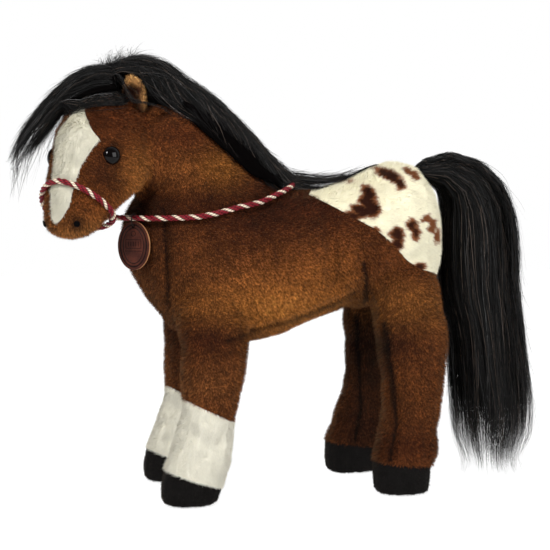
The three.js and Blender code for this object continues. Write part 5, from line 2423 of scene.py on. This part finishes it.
@dataclass
class Halter:
    """Noseband, rein and tag.

    Attributes:
        diameter: of the rope.
        pitch: length of one twist of the rope.
        rein: places that the rein goes through.
        shift: move from the rein's own frame to the toy's.
        tag_size: width, height and thickness of the tag.
        tag_top: place of the rope above the tag.
        tag_along: level direction of the rope there.
        hole: diameter of the tag's hole, and the distance of its middle from the edge.
        pulled: how far the noseband is drawn into the pile.
        border: insets of the tag's pressed lines from its edge, each with its depth.
        bars: the stamped frame, letters and line, each with its middle, width and height.
        thread: diameter of the tag's thread.
        slack: how far the tag hangs below the rope.
    """

    diameter: float = 4.5
    pitch: float = 13.0
    rein: tuple[Spot, ...] = (
        *((-9.6, -16.2, 219.2), (-1.5, -21.8, 219.0), (7.0, -29.6, 218.7), (18.6, -38.2, 218.4)),
        *((31.6, -43.0, 218.6), (51.4, -46.0, 219.4), (65.8, -46.9, 221.8), (86.5, -44.9, 227.2)),
        *((102.7, -41.9, 230.8), (117.2, -35.0, 236.6), (131.0, -23.6, 242.6), (137.6, -10.6, 246.2)),
        *((139.6, 0.0, 246.8), (137.6, 10.6, 246.2), (131.0, 23.6, 242.6), (117.2, 35.0, 236.6)),
        *((102.7, 41.9, 230.8), (86.5, 44.9, 227.2), (65.8, 46.9, 221.8), (51.4, 46.0, 219.4)),
        *((31.6, 42.0, 218.6), (19.0, 36.6, 218.4), (8.0, 27.5, 218.7), (-2.0, 13.0, 219.0)),
        (-13.8, -12.0, 219.2),
    )
    shift: Spot = (-135.1125, 1.281, 0.0)
    tag_size: Spot = (28.0, 37.0, 1.8)
    tag_top: Spot = (-128.11, -28.32, 218.7)
    tag_along: tuple[float, float] = (0.7748, -0.6322)
    hole: tuple[float, float] = (2.8, 3.6)
    pulled: float = 1.7
    border: tuple[tuple[float, float], ...] = (
        *((1.9, 0.0), (0.4, -0.4), (0.35, 0.0), (0.4, 0.4)),
        *((1.5, 0.0), (0.25, -0.3), (0.25, 0.0), (0.25, 0.3)),
    )
    bars: tuple[tuple[float, float, float, float], ...] = (
        *((0, 4.6, 13.4, 0.55), (0, -2.0, 13.4, 0.55), (-6.7, 1.3, 0.55, 6.6), (6.7, 1.3, 0.55, 6.6)),
        *((0, -4.2, 15.0, 0.45), *((x, 1.3, 0.7, 3.6) for x in (-4.4, -2.2, 0, 2.2, 4.4))),
    )
    thread: float = 1.1
    slack: float = 0.35

    def build(self) -> None:
        """Makes the tag and its thread, the rein and the noseband."""
        yarns = (ROPE_RED, ROPE_RED, ROPE_CREAM)
        hanging = [self.tag(), self.loop()]
        line = smooth_path(np.array(self.rein) + np.array(self.shift), 0.8)
        rein = Rope("rein_rope", line, self.diameter, self.pitch, yarns).build()
        settle(rein, "body", "rope_red", "rein")
        ring = self.snug(smooth_path(ring_line("noseband", 24), 0.8, closed=True))
        band = Rope("noseband_rope", ring, self.diameter, self.pitch, yarns, closed=True).build()
        settle(band, "body", "rope_red", "noseband")
        log.info("noseband: %d points", len(band.data.vertices))

    def snug(self, ring: np.ndarray) -> np.ndarray:
        """Draws the noseband into the pile of the face.

        Args:
            ring: centre line of the CAD rope.

        Returns:
            The line, nearer to the head.
        """
        tree = surface_tree(*[frame["nodes"][node].data for node in ("head_skin", "face_blaze")])
        way = np.array([tree.find_nearest(Vector(p * MM))[0] for p in ring]) / MM - ring
        for _ in range(12):
            way = (np.roll(way, 1, 0) + way + np.roll(way, -1, 0)) / 3
        return ring + unit(way) * self.pulled

    def tag_place(self) -> Matrix:
        """Returns the matrix from the tag's own plane, which faces up, to its place on the rope."""
        along, up = Vector((*self.tag_along, 0)).normalized(), Vector((0, 0, 1))
        turn = Matrix((along, up, along.cross(up))).transposed().to_4x4()
        return Matrix.Translation(Vector(self.tag_top) * MM) @ turn

    def tag(self) -> bpy.types.Object:
        """Makes the oval tag with a pressed border, a rounded edge and a hole.

        Returns:
            The tag.
        """
        wide, tall, thick = self.tag_size
        centre = -self.diameter / 2 - self.slack - tall / 2
        tag = primitive(
            bpy.ops.mesh.primitive_cylinder_add, "leather_tag", vertices=96, radius=MM, depth=thick * MM
        )
        with editing(tag):
            bpy.ops.transform.resize(value=(wide / 2, tall / 2, 1))
            bpy.ops.transform.translate(value=(0, centre * MM, 0))
        for way in (1, -1):
            self.press(tag, way)
        apply_modifier(tag, "BEVEL", width=0.25 * MM, segments=3, angle_limit=math.radians(50))
        self.stamp(tag, centre)
        height = (centre + tall / 2 - self.hole[1]) * MM
        radius = self.hole[0] / 2 * MM
        self.carve(
            tag,
            primitive(
                bpy.ops.mesh.primitive_cylinder_add,
                "bit",
                vertices=32,
                radius=radius,
                depth=8 * MM,
                location=(0, height, 0),
            ),
        )
        tag.data.materials.clear()
        for finish in (TAG_FACE, TAG_EDGE, TAG_GROOVE_SHADE):
            tag.data.materials.append(finish.material())
        pick(tag)
        bpy.ops.object.shade_smooth_by_angle(angle=math.radians(40))
        # Faces sunk in the pressed border and the stamp take the darker finish, as painted shade in the
        # grooves.
        for face in tag.data.polygons:
            x, y, z = face.center / MM
            rim = math.hypot(x / (wide / 2), (y - centre) / (tall / 2)) > 0.96
            sunk = not rim and abs(z) < thick / 2 - 0.06
            face.material_index = 2 if sunk else int(abs(face.normal.z) < 0.6 and rim)
        tag.data.transform(self.tag_place())
        tag.data.update()
        settle(tag, "tag", "tag_leather", "tag")
        return tag

    def carve(self, tag: bpy.types.Object, tool: bpy.types.Object, **settings: object) -> None:
        """Takes the form of a tool out of the tag and removes the tool."""
        apply_modifier(tag, "BOOLEAN", operation="DIFFERENCE", object=tool, solver="EXACT", **settings)
        bpy.data.objects.remove(tool)

    def stamp(self, tag: bpy.types.Object, centre: float) -> None:
        """Stamps a plain frame with bars in it, a line under it and a ring above it into the tag's front.

        Args:
            tag: the tag, flat.
            centre: height of its middle.
        """
        front = self.tag_size[2] / 2 * MM
        die = primitive(
            bpy.ops.mesh.primitive_torus_add,
            "die",
            location=(0, (centre + 9.2) * MM, front),
            major_radius=1.9 * MM,
            minor_radius=0.3 * MM,
            major_segments=32,
            minor_segments=8,
        )
        with editing(die):
            for x, y, wide, tall in self.bars:
                bpy.ops.mesh.select_all(action="DESELECT")
                place, scale = (x * MM, (centre + y) * MM, front), (wide * MM, tall * MM, 0.5 * MM)
                bpy.ops.mesh.primitive_cube_add(size=1, location=place, scale=scale)
        self.carve(tag, die, use_self=True)

    def press(self, tag: bpy.types.Object, way: int) -> None:
        """Presses an oval border line into one face of the tag.

        Args:
            tag: the tag, flat.
            way: 1 for its front, -1 for its back.
        """
        for face in tag.data.polygons:
            face.select = face.normal.z * way > 0.9
        with editing(tag, everything=False):
            bpy.ops.mesh.select_mode(type="FACE")
            for thickness, depth in self.border:
                bpy.ops.mesh.inset(thickness=thickness * MM, depth=depth * MM)

    def loop(self) -> bpy.types.Object:
        """Makes the loop of thread through the tag's hole and round the rope.

        Returns:
            The thread.
        """
        top = self.diameter / 2 + self.slack + self.thread / 2
        low = -self.diameter / 2 - self.slack - self.hole[1]
        half = self.diameter / 2 + 0.7 + self.thread / 2
        turn = np.linspace(0, 2 * math.pi, 80, endpoint=False)
        height = (top + low) / 2 + (top - low) / 2 * np.cos(turn)
        flat = np.column_stack([0 * turn, height, half * np.sin(turn)])
        place = np.array(self.tag_place())
        line = flat @ place[:3, :3].T + place[:3, 3] / MM
        yarns = (THREAD_BROWN, THREAD_BROWN)
        thread = Rope("tag_thread_loop", line, self.thread, 2 * self.thread, yarns, closed=True).build()
        settle(thread, "tag", "thread_brown", "tag_thread")
        return thread


# Face: safety eyes and stitched nostrils


@dataclass
class Face:
    """Two glossy safety eyes and two stitched nostrils.

    Attributes:
        eye_place: seat of the left eye on the skin.
        eye_way: direction in which it faces.
        eye_size: diameter, height of the dome and how deep it is sunk.
        nostril_place: middle of the left nostril.
        nostril_way: direction in which it faces.
        stitch: half sizes of a nostril's first stitch.
        step: distance between its stitches.
    """

    eye_place: Spot = (-147.03, -56.73, 265.0)
    eye_way: Spot = (0.356, -0.921, 0.160)
    eye_size: Spot = (14.0, 4.3, 2.0)
    nostril_place: Spot = (-174.7, -68.4, 214.2)
    nostril_way: Spot = (0.0, -0.95, -0.32)
    stitch: Spot = (0.6, 1.7, 0.7)
    step: float = 0.8

    def build(self) -> None:
        """Makes the eyes and nostrils, and mirrors the left ones on the right."""
        middle = np.array([*HEAD.middle, 0.0])
        for make, place, way in (
            (self.eye, np.array(self.eye_place), np.array(self.eye_way)),
            (self.nostril, np.array(self.nostril_place), np.array(self.nostril_way)),
        ):
            make(Side.LEFT, aimed(place, way))
            make(Side.RIGHT, aimed(HEAD.mirrored(place - middle) + middle, HEAD.mirrored(way)))

    def eye(self, side: Side, place: Matrix) -> None:
        """Makes one eye as a polished dome.

        Args:
            side: which eye.
            place: matrix of its seat.
        """
        wide, dome, sunk = self.eye_size
        sizes = {"segments": 64, "ring_count": 32, "radius": wide / 2 * MM}
        eye = primitive(bpy.ops.mesh.primitive_uv_sphere_add, side.named("safety_eye"), **sizes)
        with editing(eye):
            bpy.ops.transform.resize(value=(1, 1, dome / (wide / 2)))
            bpy.ops.transform.translate(value=(0, 0, -sunk * MM))
        bpy.ops.object.shade_smooth()
        eye.data.transform(place)
        EYE_GLOSS.put_on(eye)
        settle(eye, "body", "eye_plastic", side.named("eye"))
        log.info("%s", eye.name)

    def nostril(self, side: Side, place: Matrix) -> None:
        """Stitches one nostril as a patch of satin stitches.

        Args:
            side: which nostril.
            place: matrix of its middle.
        """
        sizes = {"segments": 16, "ring_count": 10, "radius": MM}
        nostril = primitive(bpy.ops.mesh.primitive_uv_sphere_add, side.named("nostril"), **sizes)
        with editing(nostril):
            bpy.ops.transform.resize(value=self.stitch)
            for longer in (1.5, 1.15, 0.87, 0.67):
                bpy.ops.mesh.duplicate()
                bpy.ops.transform.translate(value=(self.step * MM, 0, 0))
                bpy.ops.transform.resize(value=(1, longer, 1))
            bpy.ops.mesh.select_all(action="SELECT")
            bpy.ops.transform.translate(value=(-2 * self.step * MM, 0, 0))
        bpy.ops.object.shade_smooth()
        nostril.data.uv_layers[0].name = "Lay"
        set_tone(nostril, np.ones((len(nostril.data.vertices), 3)))
        nostril.data.transform(place @ Matrix.Rotation(0.5, 4, "Z"))
        THREAD_BLACK.put_on(nostril)
        settle(nostril, "body", "plush_black")
        log.info("%s", nostril.name)


# Studio: camera, floor, light and background


def seen_ray(tree: bpy.types.NodeTree, *rays: str) -> bpy.types.NodeSocket:
    """Tells rays of the kinds given from all others.

    Args:
        tree: node tree that gets the nodes.
        *rays: outputs of the light path.

    Returns:
        A socket that is 1 for these rays.
    """
    seen = 0.0
    for kind in rays:
        ray = add_node(tree, "LightPath", {}, kind)
        seen = add_node(tree, "Math", {0: seen, 1: ray}, operation="MAXIMUM")
    return seen


SHOWN = ("Is Camera Ray", "Is Glossy Ray", "Is Transmission Ray")


@dataclass
class Studio:
    """Pale floor, soft light and the camera of the photograph.

    Attributes:
        eye: place of the camera.
        pan: its turn from straight across the toy, in degrees.
        tilt: how far it looks down, in degrees.
        lens: focal length for a film 36 mm wide.
    """

    eye: Spot = (-254.4, -968.2, 216.0)
    pan: float = 14.17
    tilt: float = 2.48
    lens: float = 80.77

    def camera(self) -> None:
        """Sets the camera up."""
        data = bpy.data.cameras.new("camera")
        data.lens = self.lens
        data.sensor_width = 36
        data.clip_start = 0.01
        camera = placed("camera", data)
        camera.location = Vector(self.eye) * MM
        camera.rotation_euler = (math.radians(90 - self.tilt), 0, -math.radians(self.pan))
        bpy.context.scene.camera = camera

    def lamp(self, name: str, place: Spot, size: float, power: float) -> None:
        """Hangs a square lamp that points at the toy.

        Args:
            name: of the lamp.
            place: in metres.
            size: of its side in metres.
            power: in watts.
        """
        data = bpy.data.lights.new(name, "AREA")
        data.shape = "SQUARE"
        data.size = size
        data.energy = power
        lamp = placed(name, data)
        lamp.location = place
        way = Vector((0, 0, 0.16)) - Vector(place)
        lamp.rotation_euler = way.to_track_quat("-Z", "Y").to_euler()

    def light(self) -> None:
        """Hangs the lamps and sets the white surroundings, with a dark room behind the camera for gloss."""
        self.lamp("key_lamp", (-1.0, -1.5, 1.5), 0.5, 44)
        self.lamp("fill_lamp", (1.5, -1.5, 0.9), 1.2, 26)
        self.lamp("rim_lamp", (0.4, 1.2, 1.6), 1.2, 8)
        world = bpy.data.worlds.new("white_room")
        bpy.context.scene.world = world
        world.use_nodes = True
        tree = world.node_tree
        tree.nodes.clear()
        spot = add_node(tree, "TexCoord", {}, "Generated")
        way = add_node(tree, "SeparateXYZ", {0: spot}, "Y")
        room = add_node(tree, "MapRange", {0: way, 1: -0.4, 2: 0.2, 3: 0.12, 4: 1.0})
        shown = add_node(tree, "Math", {0: room, 1: seen_ray(tree, "Is Camera Ray")}, operation="MAXIMUM")
        strength = add_node(tree, "MapRange", {0: seen_ray(tree, *SHOWN), 3: 0.42, 4: shown})
        back = add_node(tree, "Background", {"Color": (1, 1, 1, 1), "Strength": strength})
        feed(tree, tree.nodes.new("ShaderNodeOutputWorld"), {"Surface": back})

    def floor(self) -> None:
        """Lays a white paper floor that keeps a light shadow."""
        floor = primitive(bpy.ops.mesh.primitive_plane_add, "paper_floor", size=8.0)
        material = bpy.data.materials.new("white_paper")
        material.use_nodes = True
        tree = material.node_tree
        paper = tree.nodes["Principled BSDF"]
        feed(tree, paper, {"Base Color": linear("#f4f4f4"), "Roughness": 0.9, "Specular IOR Level": 0.1})
        share = add_node(tree, "Math", {0: seen_ray(tree, *SHOWN), 1: 0.62}, operation="MULTIPLY")
        white = add_node(tree, "Emission", {"Color": (1, 1, 1, 1), "Strength": 1.4})
        mixed = add_node(tree, "MixShader", {0: share, 1: paper.outputs[0], 2: white})
        feed(tree, tree.nodes["Material Output"], {"Surface": mixed})
        floor.data.materials.append(material)

    def build(self) -> None:
        """Sets up camera, lamps, surroundings and floor."""
        self.camera()
        self.light()
        self.floor()
        bpy.context.scene.view_settings.view_transform = "Standard"


def main() -> None:
    """Builds the studio, the halter, the coat, the face and the hair in order."""
    logging.basicConfig(level=logging.INFO, format="%(name)s: %(message)s")
    Studio().build()
    Halter().build()
    coat = Coat()
    coat.build()
    Ears().build()
    Face().build()
    Mane(
        *("mane", "mane", "body", MANE_BENDS, 10500, 9, 11, 560),
        before=(Row((-150, -12.5, 321), -10, 13, 19),),
        after=(Row((76, MIDDLE, 261), -20, 1.5, 3.0),),
        sunk=4.6,
        press=(1.6, 0, 2.2),
        trim=((34, 0, 245), (1, 0, 0)),
        ground=coat.surface,
    ).build()
    Forelock(
        *("forelock", "forelock", "body", FORELOCK_BENDS, 9500, 10, 12, 520),
        before=(Row((-121, -9, 319), 28, 11, 17),),
        after=(),
        sunk=5.0,
        press=(-2.5, 0, 3.0),
        trim=((-190, 0, 296), (-1, 0, -1)),
        ground=coat.surface,
    ).build()
    Tail(
        *("tail", "tail_hair", "tail", TAIL_BENDS, 7000, 13, 13, 760),
        before=(Row((112.5, MIDDLE, 257), -20, 5.5, 5.5),),
        after=(Row((182, MIDDLE, 1), 91, 27, 22),),
        sunk=3.6,
        press=(4.5, 0, 0),
        trim=((170, 0, 105), (0, 0, -1)),
    ).build()
    for side in Side:
        WASHER_WHITE.put_on(frame["nodes"][side.named("eye_washer")])
    DOCK_TAPE.put_on(frame["nodes"]["tail_dock"])


if __name__ == "__main__":
    main()
